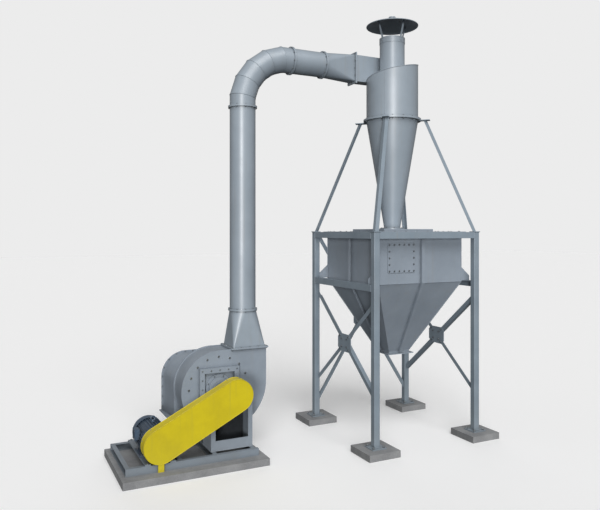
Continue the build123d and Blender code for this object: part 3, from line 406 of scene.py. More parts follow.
@dataclass(frozen=True)
class Graph:
    """A node tree while it is drawn."""

    tree: bpy.types.NodeTree  # the tree that takes the nodes

    def fill(self, node: bpy.types.Node, inputs: dict[Any, Any]) -> None:
        """Link a node's inputs to output sockets, or set them to plain values."""
        for name, value in inputs.items():
            if isinstance(value, Socket):
                self.tree.links.new(value, node.inputs[name])
            else:
                node.inputs[name].default_value = value

    def add(self, kind: str, inputs: Optional[dict[Any, Any]] = None, **settings: Any) -> bpy.types.Node:
        """Add a node, set its properties, and link or set its inputs.

        Args:
            kind: The node's type name.
            inputs: Input sockets by name or number, each with an output socket or a plain value.
            settings: Properties of the node by name.

        Returns:
            The new node.
        """
        node = self.tree.nodes.new(kind)
        for name, value in settings.items():
            setattr(node, name, value)
        self.fill(node, inputs or {})
        return node

    def noise(self, place: Socket, scale: float, detail: float, roughness: float = 0.5) -> Socket:
        """Cloudy noise at a texture scale."""
        return self.add("ShaderNodeTexNoise", {"Vector": place, "Scale": scale, "Detail": detail,
                                               "Roughness": roughness}).outputs["Fac"]

    def ramp(self, value: Socket, start: float, end: float, low: float = 0.0, high: float = 1.0,
             kind: str = "LINEAR") -> Socket:
        """Map a value that goes from start to end to one that goes from low to high."""
        return self.add("ShaderNodeMapRange", {"Value": value, "From Min": start, "From Max": end,
                                               "To Min": low, "To Max": high},
                        interpolation_type=kind).outputs["Result"]

    def mix(self, share: Socket, first: Any, second: Any) -> Socket:
        """Blend two colours, given as sockets or as plain colours."""
        return self.add("ShaderNodeMix", {"Factor": share, "A": first, "B": second},
                        data_type="RGBA").outputs["Result"]

    def maths(self, operation: str, *values: Any) -> Socket:
        """Work out one value from others."""
        return self.add("ShaderNodeMath", dict(enumerate(values)), operation=operation).outputs["Value"]

    def bump(self, height: Socket, strength: float, distance: float) -> Socket:
        """Tilt the surface by a height pattern that is distance metres deep."""
        return self.add("ShaderNodeBump", {"Height": height, "Strength": strength,
                                           "Distance": distance}).outputs["Normal"]


@dataclass(frozen=True)
class Finish(ABC):
    """One real material and the way its surface was made."""

    name: str  # what the finish is called

    def material(self) -> bpy.types.Material:
        """Make the Blender material."""
        made = bpy.data.materials.new(self.name)
        made.use_nodes = True
        made.node_tree.nodes.clear()
        graph = Graph(made.node_tree)
        shader = graph.add("ShaderNodeBsdfPrincipled")
        graph.add("ShaderNodeOutputMaterial", {"Surface": shader.outputs["BSDF"]})
        graph.fill(shader, self.draw(graph, graph.add("ShaderNodeTexCoord").outputs["Object"]))
        return made

    @abstractmethod
    def draw(self, graph: Graph, place: Socket) -> dict[str, Any]:
        """Draw the finish's patterns.

        Args:
            graph: The material's node tree.
            place: Object coordinates in metres.

        Returns:
            What goes into the principled shader's inputs.
        """


@dataclass(frozen=True)
class SprayedEnamel(Finish):
    """Alkyd enamel sprayed on steel.

    The eye sees an even half-gloss colour with faint clouds, orange peel under a glossy skin, pale
    runs that rain has left down the walls, dust that has settled near the ground, and painted shade,
    dark like oily dirt, that ambient occlusion lays into the corners.
    """

    colour: str  # the paint as it was mixed
    cloud: str  # the slightly chalked shade it has weathered to
    dust: str = "#8f8e8a"  # the dust near the ground and in the runs
    painted_shade: str = "#2c3033"  # painted shade, dark like oily dirt, that ambient occlusion lays into corners and behind flanges
    roughness: float = 0.42  # middle of its gloss
    cloud_mm: float = 260.0  # width of a cloud
    run_mm: float = 38.0  # width of a rain run
    run_length: float = 18.0  # how many times longer than wide a run is
    # orange peel, drawn several times coarser than the real 2 mm so that it shows
    peel_mm: float = 14.0
    dust_share: float = 0.30  # how much the dust covers at the ground
    dust_top: float = 0.55  # height in metres where the dust ends
    painted_shade_mm: float = 70.0  # how far the painted shade reaches out of a corner
    painted_shade_share: float = 0.55  # how much the painted shade darkens the corner itself
    coat: float = 0.5  # weight of the glossy skin that the enamel has flowed out to
    coat_roughness: float = 0.34  # how blurred that skin mirrors a lamp
    cloud_band: Pair = (0.35, 0.68)  # noise values over which the chalked shade takes over
    run_band: Pair = (0.55, 0.85)  # noise values over which a run sets in
    run_share: float = 0.35  # how much a run covers at most
    dust_foot: float = 0.05  # height in metres where the dust begins to thin out
    painted_shade_band: Pair = (0.25, 0.85)  # how open a corner is where the painted shade is full and where it ends
    gloss_band: Pair = (0.3, 0.7)  # noise values over which the gloss varies
    gloss_spread: Pair = (-0.05, 0.07)  # how far it varies about its middle
    peel_relief: Pair = (0.10, 0.0012)  # strength of the orange peel and its depth in metres
    refraction: float = 1.5  # refractive index of the binder

    def draw(self, graph: Graph, place: Socket) -> dict[str, Any]:
        """Draw clouds, runs, dust, painted corner shade and orange peel."""
        clouds = graph.noise(place, per_metre(self.cloud_mm), 5.0, 0.6)
        paint = graph.mix(graph.ramp(clouds, *self.cloud_band), linear(self.colour), linear(self.cloud))
        across, down = per_metre(self.run_mm), per_metre(self.run_mm * self.run_length)
        stretched = graph.add("ShaderNodeMapping", {"Vector": place, "Scale": (across, across, down)})
        streaks = graph.noise(stretched.outputs["Vector"], 1.0, 3.0)
        runs = graph.ramp(streaks, *self.run_band, 0.0, self.run_share)
        height = graph.add("ShaderNodeSeparateXYZ", {"Vector": place}).outputs["Z"]
        settled = graph.ramp(height, self.dust_foot, self.dust_top, self.dust_share, 0.0, "SMOOTHSTEP")
        soiled = graph.maths("MAXIMUM", graph.maths("MULTIPLY", settled, clouds), runs)
        worn = graph.mix(soiled, paint, linear(self.dust))
        # painted shade: ambient occlusion darkens the base colour in corners and behind flanges
        corners = graph.add("ShaderNodeAmbientOcclusion", {"Distance": self.painted_shade_mm / 1000.0}, samples=6)
        painted_shade_amount = graph.ramp(corners.outputs["AO"], *self.painted_shade_band, self.painted_shade_share, 0.0)
        return {
            "Base Color": graph.mix(painted_shade_amount, worn, linear(self.painted_shade)),
            "Roughness": graph.ramp(clouds, *self.gloss_band,
                                    *(self.roughness + more for more in self.gloss_spread)),
            "Normal": graph.bump(graph.noise(place, per_metre(self.peel_mm), 2.0), *self.peel_relief),
            "IOR": self.refraction, "Coat Weight": self.coat, "Coat Roughness": self.coat_roughness}


@dataclass(frozen=True)
class CastConcrete(Finish):
    """Concrete cast in boards and struck off level.

    The eye sees a matt grey with cloudy damp and lime, sand grains, and the pits that air bubbles
    leave.
    """

    dry: str  # the pale dry cement skin
    damp: str  # the darker patches
    pit_mm: float = 26.0  # width of an air pit
    grain_mm: float = 7.0  # sand grain, drawn coarser than the real 1 mm so that it shows
    patch_mm: float = 220.0  # width of a damp patch
    roughness: float = 0.88  # how matt it is
    sand_shade: float = 0.45  # how much the sand adds to the damp patches' pattern
    damp_band: Pair = (0.5, 0.95)  # pattern values over which the damp takes over
    pit_band: Pair = (0.05, 0.22)  # share of a pit's width from its floor to its rim
    sand_height: float = 0.5  # height of the sand as a share of a pit's depth
    relief: Pair = (0.55, 0.003)  # strength of the relief and its depth in metres

    def draw(self, graph: Graph, place: Socket) -> dict[str, Any]:
        """Draw patches, sand and pits."""
        patches = graph.noise(place, per_metre(self.patch_mm), 6.0, 0.65)
        sand = graph.noise(place, per_metre(self.grain_mm), 2.0)
        share = graph.ramp(graph.maths("MULTIPLY_ADD", sand, self.sand_shade, patches), *self.damp_band)
        cells = graph.add("ShaderNodeTexVoronoi", {"Vector": place, "Scale": per_metre(self.pit_mm)})
        pits = graph.ramp(cells.outputs["Distance"], *self.pit_band)
        return {
            "Base Color": graph.mix(share, linear(self.dry), linear(self.damp)),
            "Normal": graph.bump(graph.maths("MULTIPLY_ADD", sand, self.sand_height, pits), *self.relief),
            "Roughness": self.roughness}


@dataclass(frozen=True)
class BareSteel(Finish):
    """Bare or zinc-plated steel, turned or pressed.

    The eye sees a grey metal shine that fine tool lines and a dull oxide film break up.
    """

    bright: str  # the clean metal
    dull: str  # the metal under its film
    roughness: float = 0.36  # middle of its gloss
    film_mm: float = 18.0  # width of a patch of film
    # pitch of the tool lines, drawn coarser than the real 0.2 mm so that they show
    line_mm: float = 3.0
    waver: float = 0.6  # how far the tool lines wander
    gloss_spread: Pair = (-0.1, 0.14)  # how far the gloss varies about its middle
    relief: Pair = (0.12, 0.0004)  # strength of the tool lines and their depth in metres

    def draw(self, graph: Graph, place: Socket) -> dict[str, Any]:
        """Draw the film and the tool lines."""
        film = graph.noise(place, per_metre(self.film_mm), 4.0)
        lines = graph.add("ShaderNodeTexWave", {
            "Vector": place, "Scale": per_metre(self.line_mm) / math.tau, "Distortion": self.waver},
            bands_direction="Y")
        return {
            "Base Color": graph.mix(film, linear(self.bright), linear(self.dull)),
            "Roughness": graph.ramp(film, 0.0, 1.0, *(self.roughness + more for more in self.gloss_spread)),
            "Normal": graph.bump(lines.outputs["Fac"], *self.relief),
            "Metallic": 1.0}


class Palette:
    """Every finish on the plant, by the slot it fills."""

    FINISHES: ClassVar[dict[Slot, Finish]] = {
        Slot.CONCRETE: CastConcrete("cast_concrete", "#999a9b", "#7d7e80"),
        Slot.STAND: SprayedEnamel("enamel_on_rolled_sections", "#8a97a2", "#7f8c97"),
        Slot.HOPPER: SprayedEnamel("enamel_on_hopper_sheet", "#929ca7", "#87919c", cloud_mm=420.0),
        Slot.CYCLONE: SprayedEnamel("enamel_on_cyclone_sheet", "#98a3ad", "#8f9aa4", cloud_mm=330.0,
                                    coat=1.0, coat_roughness=0.36),
        Slot.DUCT: SprayedEnamel("enamel_on_duct_sheet", "#98a3ad", "#8f9aa4", cloud_mm=300.0,
                                 coat=1.0, coat_roughness=0.36),
        Slot.FAN: SprayedEnamel("enamel_on_fan_plate", "#919ba6", "#86909b"),
        Slot.SKID: SprayedEnamel("enamel_on_skid_channel", "#7f8b97", "#717d88", dust_share=0.45),
        Slot.STEEL: BareSteel("turned_steel", "#b4b6b8", "#85878a"),
        Slot.BEARING: SprayedEnamel("enamel_on_cast_bearing_blocks", "#5f6a72", "#525c63", peel_mm=8.0),
        Slot.MOTOR: SprayedEnamel("slate_enamel_on_cast_motor", "#465a70", "#3c4e62", roughness=0.38,
                                  peel_mm=8.0),
        # the guard's painted corner shade is a dark olive
        Slot.GUARD: SprayedEnamel("yellow_safety_enamel", "#d4c21d", "#c6b418", dust="#a89f4a",
                                  painted_shade="#5c5410", coat=0.12),
    }
    ZINC = BareSteel("zinc_plated_fasteners", "#a9adb0", "#7b8084", roughness=0.42, film_mm=6.0)
    # painted shade: a near-black finish for the plate that darkens the inside of the pedestal
    SHADE_SHEET_FINISH = SprayedEnamel("black_painted_shade_sheet", "#24292e", "#1d2125", dust="#2b2e30",
                           roughness=0.7, cloud_mm=60.0, coat=0.0)

    def __init__(self) -> None:
        """Make each material once."""
        self._materials = {slot: finish.material() for slot, finish in self.FINISHES.items()}
        self.zinc = self.ZINC.material()
        self.shade_sheet_finish = self.SHADE_SHEET_FINISH.material()

    def of(self, slot: Slot) -> bpy.types.Material:
        """The material of a slot."""
        return self._materials[slot]


@dataclass
class SubAssembly(ABC):
    """A group of CAD nodes and the small pieces that dress them."""

    nodes: ClassVar[Names] = ()  # the CAD nodes of the group

    palette: Palette  # the plant's finishes

    @abstractmethod
    def build(self) -> None:
        """Make the group's small pieces."""

    def dress(self) -> None:
        """Give each CAD node of the group the finish of its slot."""
        slots = {part["node"]: Slot(part["material_slot"]) for part in frame["record"]["subparts"]}
        for name in self.nodes:
            solid = frame["nodes"][name]
            solid.data.materials.clear()
            solid.data.materials.append(self.palette.of(slots[name]))
            LOG.info("dressed %s in %s", name, slots[name].value)

    def fasteners(self, draft: MeshDraft, name: str) -> None:
        """Make a draft into a piece of zinc-plated steel."""
        draft.piece(name, self.palette.zinc, Slot.STEEL)

    def welds(self, draft: MeshDraft, name: str, slot: Slot) -> None:
        """Make a draft into a piece under the paint of its slot."""
        draft.piece(name, self.palette.of(slot), slot, sharp=80.0)


@dataclass
class Foundations(SubAssembly):
    """Concrete pads and slab with the anchors that hold the legs down."""

    nodes: ClassVar[Names] = ("concrete_pads", "fan_slab", "leg_base_plates")

    leg_half: float = 0.0375  # half a leg's width
    anchor_offset: float = 0.066  # distance of an anchor from the leg's axis, along X and along Y

    def build(self) -> None:
        """Four anchors in each base plate, and the fillet weld round each leg's foot."""
        anchors, welds = MeshDraft(), MeshDraft()
        for foot in feet_of("legs", self.leg_half):
            for spot in square(foot, self.anchor_offset):
                anchors.nut(spot, Z, HexSize.M16)
            welds.rectangle_seam(square(foot, self.leg_half), HEAVY_BEAD)
        self.fasteners(anchors, "leg_anchors")
        self.welds(welds, "leg_foot_welds", Slot.STAND)


@dataclass
class Stand(SubAssembly):
    """Legs, rails, braces, stays and what bolts and welds them together."""

    nodes: ClassVar[Names] = (
        "legs", "leg_cap_plates", "top_rails", "hopper_rails", "left_braces", "right_braces",
        "back_braces", "brace_gussets", "stay_tabs", "stays")

    side_slope: float = 1.152 / 1.425  # rise over run of the side braces
    back_slope: float = 2.208 / 1.425  # rise over run of the back braces
    # distances of the bolts from the middle of a side gusset, along each brace
    side_bolts: tuple[float, ...] = (0.075, 0.125)
    back_bolts: tuple[float, ...] = (0.085, 0.150)  # the same on the back gusset
    side_level: float = 1.131  # height of the middle of the side gussets
    back_level: float = 1.371  # height of the middle of the back gusset
    gusset_thick: float = 0.008  # thickness of a gusset
    leg_side: float = 0.075  # width of a leg
    rail_side: float = 0.075  # depth of a rail
    cap_half: float = 0.045  # half a cap plate's side
    cap_drop: float = 0.001  # how far the middle of its weld lies under it
    angle: AngleSection = AngleSection()  # section of the braces and stays
    brace_gap: float = 0.042  # how far from the middle of a side gusset its braces end
    # which left braces, by their way along Y and Z, have the standing leg below
    left_low_legs: tuple[tuple[int, int], ...] = ((1, 1),)
    stay_radius: float = 0.420  # how far from the tower's middle line a stay ends under its tab
    stay_heel: float = 0.015  # how far its heel lies outside its own line

    def build(self) -> None:
        """Side braces and stays, gusset bolts, and the welds of rails and cap plates."""
        self.side_braces()
        self.stay_angles()
        self.gusset_bolts()
        self.rail_welds()
        self.cap_welds()

    def side_braces(self) -> None:
        """Four angles a side on one face of the gusset, each cut upright at both ends."""
        low, high = box_of("legs")
        middle = middle_of("legs")
        reach = 0.5 * (high.y - low.y) - self.leg_side
        gussets_low, gussets_high = box_of("brace_gussets")
        for node, face, low_legs in (
                ("left_braces", gussets_low.x + self.gusset_thick, self.left_low_legs),
                ("right_braces", gussets_high.x, SQUARE_SIGNS)):
            bars = MeshDraft()
            for y, z in SQUARE_SIGNS:
                run = Vector((0.0, y, z * self.side_slope)).normalized()
                upward = (Z - Z.dot(run) * run).normalized()
                edge = -upward if (y, z) in low_legs else upward
                heel = Vector((face, middle.y, self.side_level)) + 0.5 * self.angle.side * edge
                bars.angle_bar(self.angle, (heel, run), (-edge, X),
                               (Y, middle.y + y * self.brace_gap, middle.y + y * reach))
            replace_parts(bars.piece(f"{node}_angles", self.palette.of(Slot.STAND), Slot.STAND), node)

    def stay_angles(self) -> None:
        """The stays, heels outward, from the legs' cap plates to tabs under the cyclone's flange."""
        low, high = box_of("legs")
        middle = middle_of("legs")
        foot = box_of("leg_cap_plates")[1].z
        top = box_of("stay_tabs")[0].z
        foot_radius = math.sqrt(2) * 0.5 * (high.x - low.x - self.leg_side)
        stays = MeshDraft()
        for x, y in SQUARE_SIGNS:
            outward = Vector((x, y, 0)).normalized()
            tangent = Z.cross(outward)
            run = ((self.stay_radius - foot_radius) * outward + (top - foot) * Z).normalized()
            start = Vector((middle.x, middle.y, foot)) + foot_radius * outward
            legs = ((tangent - outward).normalized(), (-tangent - outward).normalized())
            stays.angle_bar(self.angle, (start + self.stay_heel * outward, run), legs, (Z, foot, top))
        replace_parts(stays.piece("stay_angles", self.palette.of(Slot.STAND), Slot.STAND), "stays")

    def gusset_bolts(self) -> None:
        """Bolts through the gussets and the braces on them."""
        centre = middle_of("legs")
        low, high = box_of("brace_gussets")
        skin = self.angle.thick
        side = (self.side_slope, self.side_bolts, self.side_level)
        back = (self.back_slope, self.back_bolts, self.back_level)
        bolts = MeshDraft()
        for out, face, (slope, reach, level), skins in (
                (-X, Vector((low.x, centre.y, 0)), side, (0.0, 0.0)),
                (X, Vector((high.x, centre.y, 0)), side, (skin, skin)),
                (Y, Vector((centre.x, high.y, 0)), back, (skin, 0.0))):
            for sense, lift in zip((1, -1), skins):
                run = (sense * Z.cross(out) + slope * Z).normalized()
                for distance in [sign * far for far in reach for sign in (-1, 1)]:
                    spot = face + level * Z + distance * run + lift * out
                    bolts.through_bolt(spot, out, self.gusset_thick + skin, HexSize.M12)
        self.fasteners(bolts, "gusset_bolts")

    def rail_welds(self) -> None:
        """Short upright welds where the rails meet the legs."""
        low, high = box_of("legs")
        top = box_of("top_rails")[1].z
        waist = box_of("hopper_rails")[1].z
        welds = MeshDraft()
        for x, y in SQUARE_SIGNS:
            corner = Vector((low.x if x < 0 else high.x, low.y if y < 0 else high.y, 0))
            along_x = corner - x * self.leg_side * X
            along_y = corner - y * self.leg_side * Y
            for edge, level in ((along_x, top), (along_y, top), (along_y, waist)):
                welds.seam(edge + (level - self.rail_side) * Z, edge + level * Z, X, LIGHT_BEAD)
        self.welds(welds, "rail_end_welds", Slot.STAND)

    def cap_welds(self) -> None:
        """The weld round each leg under its cap plate."""
        welds = MeshDraft()
        for cap in feet_of("leg_cap_plates", self.cap_half):
            welds.rectangle_seam(square(cap - self.cap_drop * Z, self.leg_side / 2), LIGHT_BEAD)
        self.welds(welds, "leg_cap_welds", Slot.STAND)


@dataclass
class Hopper(SubAssembly):
    """Dust hopper: box, pyramid, lid, cover and access plate."""

    nodes: ClassVar[Names] = (
        "hopper_box", "hopper_pyramid", "hopper_ribs", "hopper_lugs", "hopper_lid", "lid_cover",
        "access_plate")

    half: float = 0.600  # half the box's side
    waist: float = 1.875  # level where the box meets the pyramid
    mouth_half: float = 0.150  # half the outlet's side
    mouth: float = 1.005  # level where the pyramid meets the outlet collar
    rim_thick: float = 0.005  # thickness of the box's turned-out flange
    outlet_thick: float = 0.010  # thickness of the outlet flange
    lid_line: float = 0.021  # distance of the lid's bolts from the box's wall
    lid_reach: float = 0.5425  # half the length of a row of them
    lid_row: int = 8  # bolts in a row
    lid_grip: float = 0.011  # thickness of lid and flange together
    # the faces of a rib's web, sideways from the middle of the hopper's wall
    rib_faces: Pair = (-0.020, -0.014)
    rib_end: float = 0.03  # how far short of rim and waist the stitches on the box stay
    # where the first and last stitch of a rib start, as shares of its length
    stitch_starts: Pair = (0.06, 0.86)
    stitch_length: float = 0.09  # length of a stitch as such a share
    stitch_pitch: float = 0.008  # distance between its ripples
    door_inset: float = 0.019  # distance of the access plate's bolts from its edge
    door_rows: tuple[int, int] = (6, 5)  # bolts along the access plate's sides, across and up

    @property
    def spins(self) -> list[Matrix]:
        """The quarter turns that bring the front wall round to each wall."""
        return [Matrix.Rotation(math.pi / 2 * turn, 3, "Z") for turn in range(4)]

    def build(self) -> None:
        """Lid bolts, access plate bolts and the hopper's welds."""
        self.lid_bolts()
        self.door_bolts()
        self.corner_welds()
        self.rib_welds()

    def lid_bolts(self) -> None:
        """Bolts all round the lid, through the box's flange."""
        bolts = MeshDraft()
        middle = axis_of("hopper_lid")
        top = box_of("hopper_lid")[1].z
        for spin in self.spins:
            for offset in steps(-self.lid_reach, self.lid_reach, self.lid_row):
                spot = middle + spin @ Vector((offset, -self.half - self.lid_line, 0)) + top * Z
                bolts.through_bolt(spot, Z, self.lid_grip, HexSize.M8)
        self.fasteners(bolts, "lid_bolts")

    def door_bolts(self) -> None:
        """Bolts round the access plate."""
        low, high = box_of("access_plate")
        inset = self.door_inset
        bolts = MeshDraft()
        for x, z in rim_spots((low.x + inset, high.x - inset), (low.z + inset, high.z - inset),
                              self.door_rows):
            bolts.hex_head(Vector((x, low.y, z)), -Y, HexSize.M10)
        self.fasteners(bolts, "access_plate_bolts")

    def corner_welds(self) -> None:
        """Welds up the corners, round the waist, the outlet and the cover's foot."""
        welds = MeshDraft()
        middle = axis_of("hopper_lid")
        rim = box_of("hopper_box")[1].z - self.rim_thick
        collar = box_of("hopper_pyramid")[0].z + self.outlet_thick
        cover_low, cover_high = box_of("lid_cover")
        mouth = square(middle + self.mouth * Z, self.mouth_half)
        waist = square(middle + self.waist * Z, self.half)
        for low, mid, high in zip(mouth, waist, square(middle + rim * Z, self.half)):
            welds.seam(low, mid, X, HEAVY_BEAD)
            welds.seam(mid, high, X, LIGHT_BEAD)
        welds.rectangle_seam(waist, HEAVY_BEAD)
        welds.rectangle_seam(mouth, LIGHT_BEAD)
        welds.rectangle_seam(square(middle + collar * Z, self.mouth_half), HEAVY_BEAD)
        lid_top = middle + box_of("hopper_lid")[1].z * Z
        welds.rectangle_seam(square(lid_top, 0.5 * (cover_high.x - cover_low.x)), LIGHT_BEAD)
        self.welds(welds, "hopper_welds", Slot.HOPPER)

    def rib_welds(self) -> None:
        """Stitch welds down both sides of each rib."""
        welds = MeshDraft()
        middle = axis_of("hopper_lid")
        rim = box_of("hopper_box")[1].z - self.rib_end
        runs = ((Vector((self.half, 0, rim)), Vector((self.half, 0, self.waist + self.rib_end)), 3),
                (Vector((self.half, 0, self.waist)), Vector((self.mouth_half, 0, self.mouth)), 4))
        for spin in self.spins:
            for start, end, count in runs:
                for share in steps(*self.stitch_starts, count):
                    for face in self.rib_faces:
                        low, high = (middle + spin @ (start.lerp(end, at) + face * Y)
                                     for at in (share, share + self.stitch_length))
                        welds.seam(low, high, spin @ Y, LIGHT_BEAD, self.stitch_pitch)
        self.welds(welds, "rib_stitch_welds", Slot.HOPPER)


@dataclass
class Cyclone(SubAssembly):
    """Cone, barrel, helical roof, tangential inlet, outlet pipe and rain cap."""

    nodes: ClassVar[Names] = (
        "cyclone_cone", "cyclone_barrel", "helical_roof", "cyclone_inlet", "outlet_pipe", "rain_cap",
        "cap_straps")

    barrel_radius: float = 0.323  # outside radius of the barrel
    foot_radius: float = 0.100  # outside radius of the cone's foot
    pipe_radius: float = 0.156  # outside radius of the outlet pipe
    flange_thick: float = 0.012  # thickness of the cone's flanges
    flange_bolts: int = 16  # bolts in the flange between cone and barrel
    flange_circle: float = 0.3435  # radius of their circle
    foot_bolts: int = 8  # bolts in the cone's foot flange
    foot_circle: float = 0.136  # radius of their circle
    inlet_thick: float = 0.008  # thickness of the inlet's flange
    inlet_pattern: Pair = (0.0905, 0.180)  # half the inlet's bolt pattern, across and up
    inlet_rows: tuple[int, int] = (3, 5)  # bolts along its sides, across and up
    inlet_angle: float = 148.24  # where the roof's helix starts, in degrees about the axis
    roof_turn: float = 301.76  # how far the helix turns, in degrees
    roof_rise: float = 0.328  # how far it climbs
    roof_thick: float = 0.004  # thickness of the roof sheet
    cone_seam: float = 118.0  # where the cone's long seam lies, in degrees
    barrel_seam: float = -140.0  # where the barrel's long seam lies, in degrees
    seam_turn: float = 70.0  # how far the helix has turned above that seam, in degrees
    ring_gap: float = 0.001  # how far above a flange and outside the sheet a ring weld's middle lies
    cap_sheet: float = 0.003  # height of the rain cap's edge
    cap_wire: float = 0.0055  # radius of the wire rolled into it
    wire_inset: float = 0.002  # how far the wire's middle lies inside the edge
    # where the rain cap's straps stand, in degrees
    strap_angles: tuple[float, ...] = (7.0, 97.0, 187.0, 277.0)
    strap_drops: tuple[float, ...] = (0.015, 0.042)  # how far below the pipe's top a strap's rivets sit
    strap_face: float = 0.008  # distance of a strap's face from the pipe
    cap_rivets: float = 0.200  # radius at which the straps are riveted to the cap
    rivet: float = 0.007  # radius of a rivet's head

    def polar(self, radius: float, degrees: float, level: float) -> Vector:
        """A point given by its radius, angle and height about the cyclone's axis."""
        angle = math.radians(degrees)
        return axis_of("cyclone_cone") + Vector((radius * math.cos(angle), radius * math.sin(angle), level))

    def circle(self, radius: float, level: float, count: int, phase: float = 0.0) -> list[Vector]:
        """Even points on a level circle about the axis, all moved on by a share of one step."""
        return [self.polar(radius, 360 / count * (at + phase), level) for at in range(count)]

    def build(self) -> None:
        """Flange bolts, seams, and the cap's rim and rivets."""
        self.bolts()
        self.seams()
        self.cap_trim()

    def bolts(self) -> None:
        """Bolts of the middle flange, the foot flange and the inlet flange."""
        bolts = MeshDraft()
        low, high = box_of("cyclone_cone")
        thick = self.flange_thick
        for spot in self.circle(self.flange_circle, high.z + thick, self.flange_bolts, 0.5):
            bolts.through_bolt(spot, Z, 2 * thick, HexSize.M10)
        for spot in self.circle(self.foot_circle, low.z + thick, self.foot_bolts, 0.5):
            bolts.hex_head(spot, Z, HexSize.M10)
        face = box_of("cyclone_inlet")[0].x + self.inlet_thick
        inlet = Vector((face, middle_of("inlet_transition").y, middle_of("cyclone_inlet").z))
        across, up = self.inlet_pattern
        for y, z in rim_spots((-across, across), (-up, up), self.inlet_rows):
            bolts.through_bolt(inlet + Vector((0, y, z)), X, 2 * self.inlet_thick, HexSize.M8)
        self.fasteners(bolts, "cyclone_bolts")

    def seams(self) -> None:
        """Rolled-sheet seams, and the welds of the roof and of the cone's flanges."""
        welds = MeshDraft()
        low, high = box_of("cyclone_cone")
        thick = self.flange_thick
        welds.seam(self.polar(self.foot_radius, self.cone_seam, low.z + thick),
                   self.polar(self.barrel_radius, self.cone_seam, high.z - thick), X, LIGHT_BEAD)
        roof_foot = box_of("helical_roof")[0].z
        seam_top = roof_foot + self.roof_rise * self.seam_turn / self.roof_turn
        welds.seam(self.polar(self.barrel_radius, self.barrel_seam, high.z + thick),
                   self.polar(self.barrel_radius, self.barrel_seam, seam_top), X, LIGHT_BEAD)
        for radius in (self.barrel_radius, self.pipe_radius):
            welds.bead([self.polar(radius, self.inlet_angle + self.roof_turn * share,
                                   roof_foot + self.roof_rise * share + self.roof_thick)
                        for share in steps(0.0, 1.0, 150)], Z, FILLET_BEAD)
        gap = self.ring_gap
        for radius, level in ((self.foot_radius, low.z), (self.barrel_radius, high.z)):
            welds.bead(self.circle(radius + gap, level + thick + gap, 90), Z, FILLET_BEAD, closed=True)
        self.welds(welds, "cyclone_seams", Slot.CYCLONE)

    def cap_trim(self) -> None:
        """The wired rim of the rain cap, and the rivets of its straps."""
        low, high = box_of("rain_cap")
        radius, rise = 0.5 * (high.x - low.x), high.z - low.z
        edge = low.z + self.cap_sheet
        rim, rivets = MeshDraft(), MeshDraft()
        rim.bead(self.circle(radius - self.wire_inset, edge, 120), Z, self.cap_wire, True, 0.0)
        self.welds(rim, "cap_wired_rim", Slot.CYCLONE)
        pipe_top = box_of("outlet_pipe")[1].z
        level = edge + (rise - self.cap_sheet) * (1 - self.cap_rivets / radius)
        for angle in self.strap_angles:
            outward = self.polar(1.0, angle, 0) - self.polar(0.0, angle, 0)
            for drop in self.strap_drops:
                spot = self.polar(self.pipe_radius + self.strap_face, angle, pipe_top - drop)
                rivets.dome(spot, outward, self.rivet)
            normal = (rise * outward + radius * Z).normalized()
            rivets.dome(self.polar(self.cap_rivets, angle, level), normal, self.rivet)
        self.fasteners(rivets, "strap_rivets")


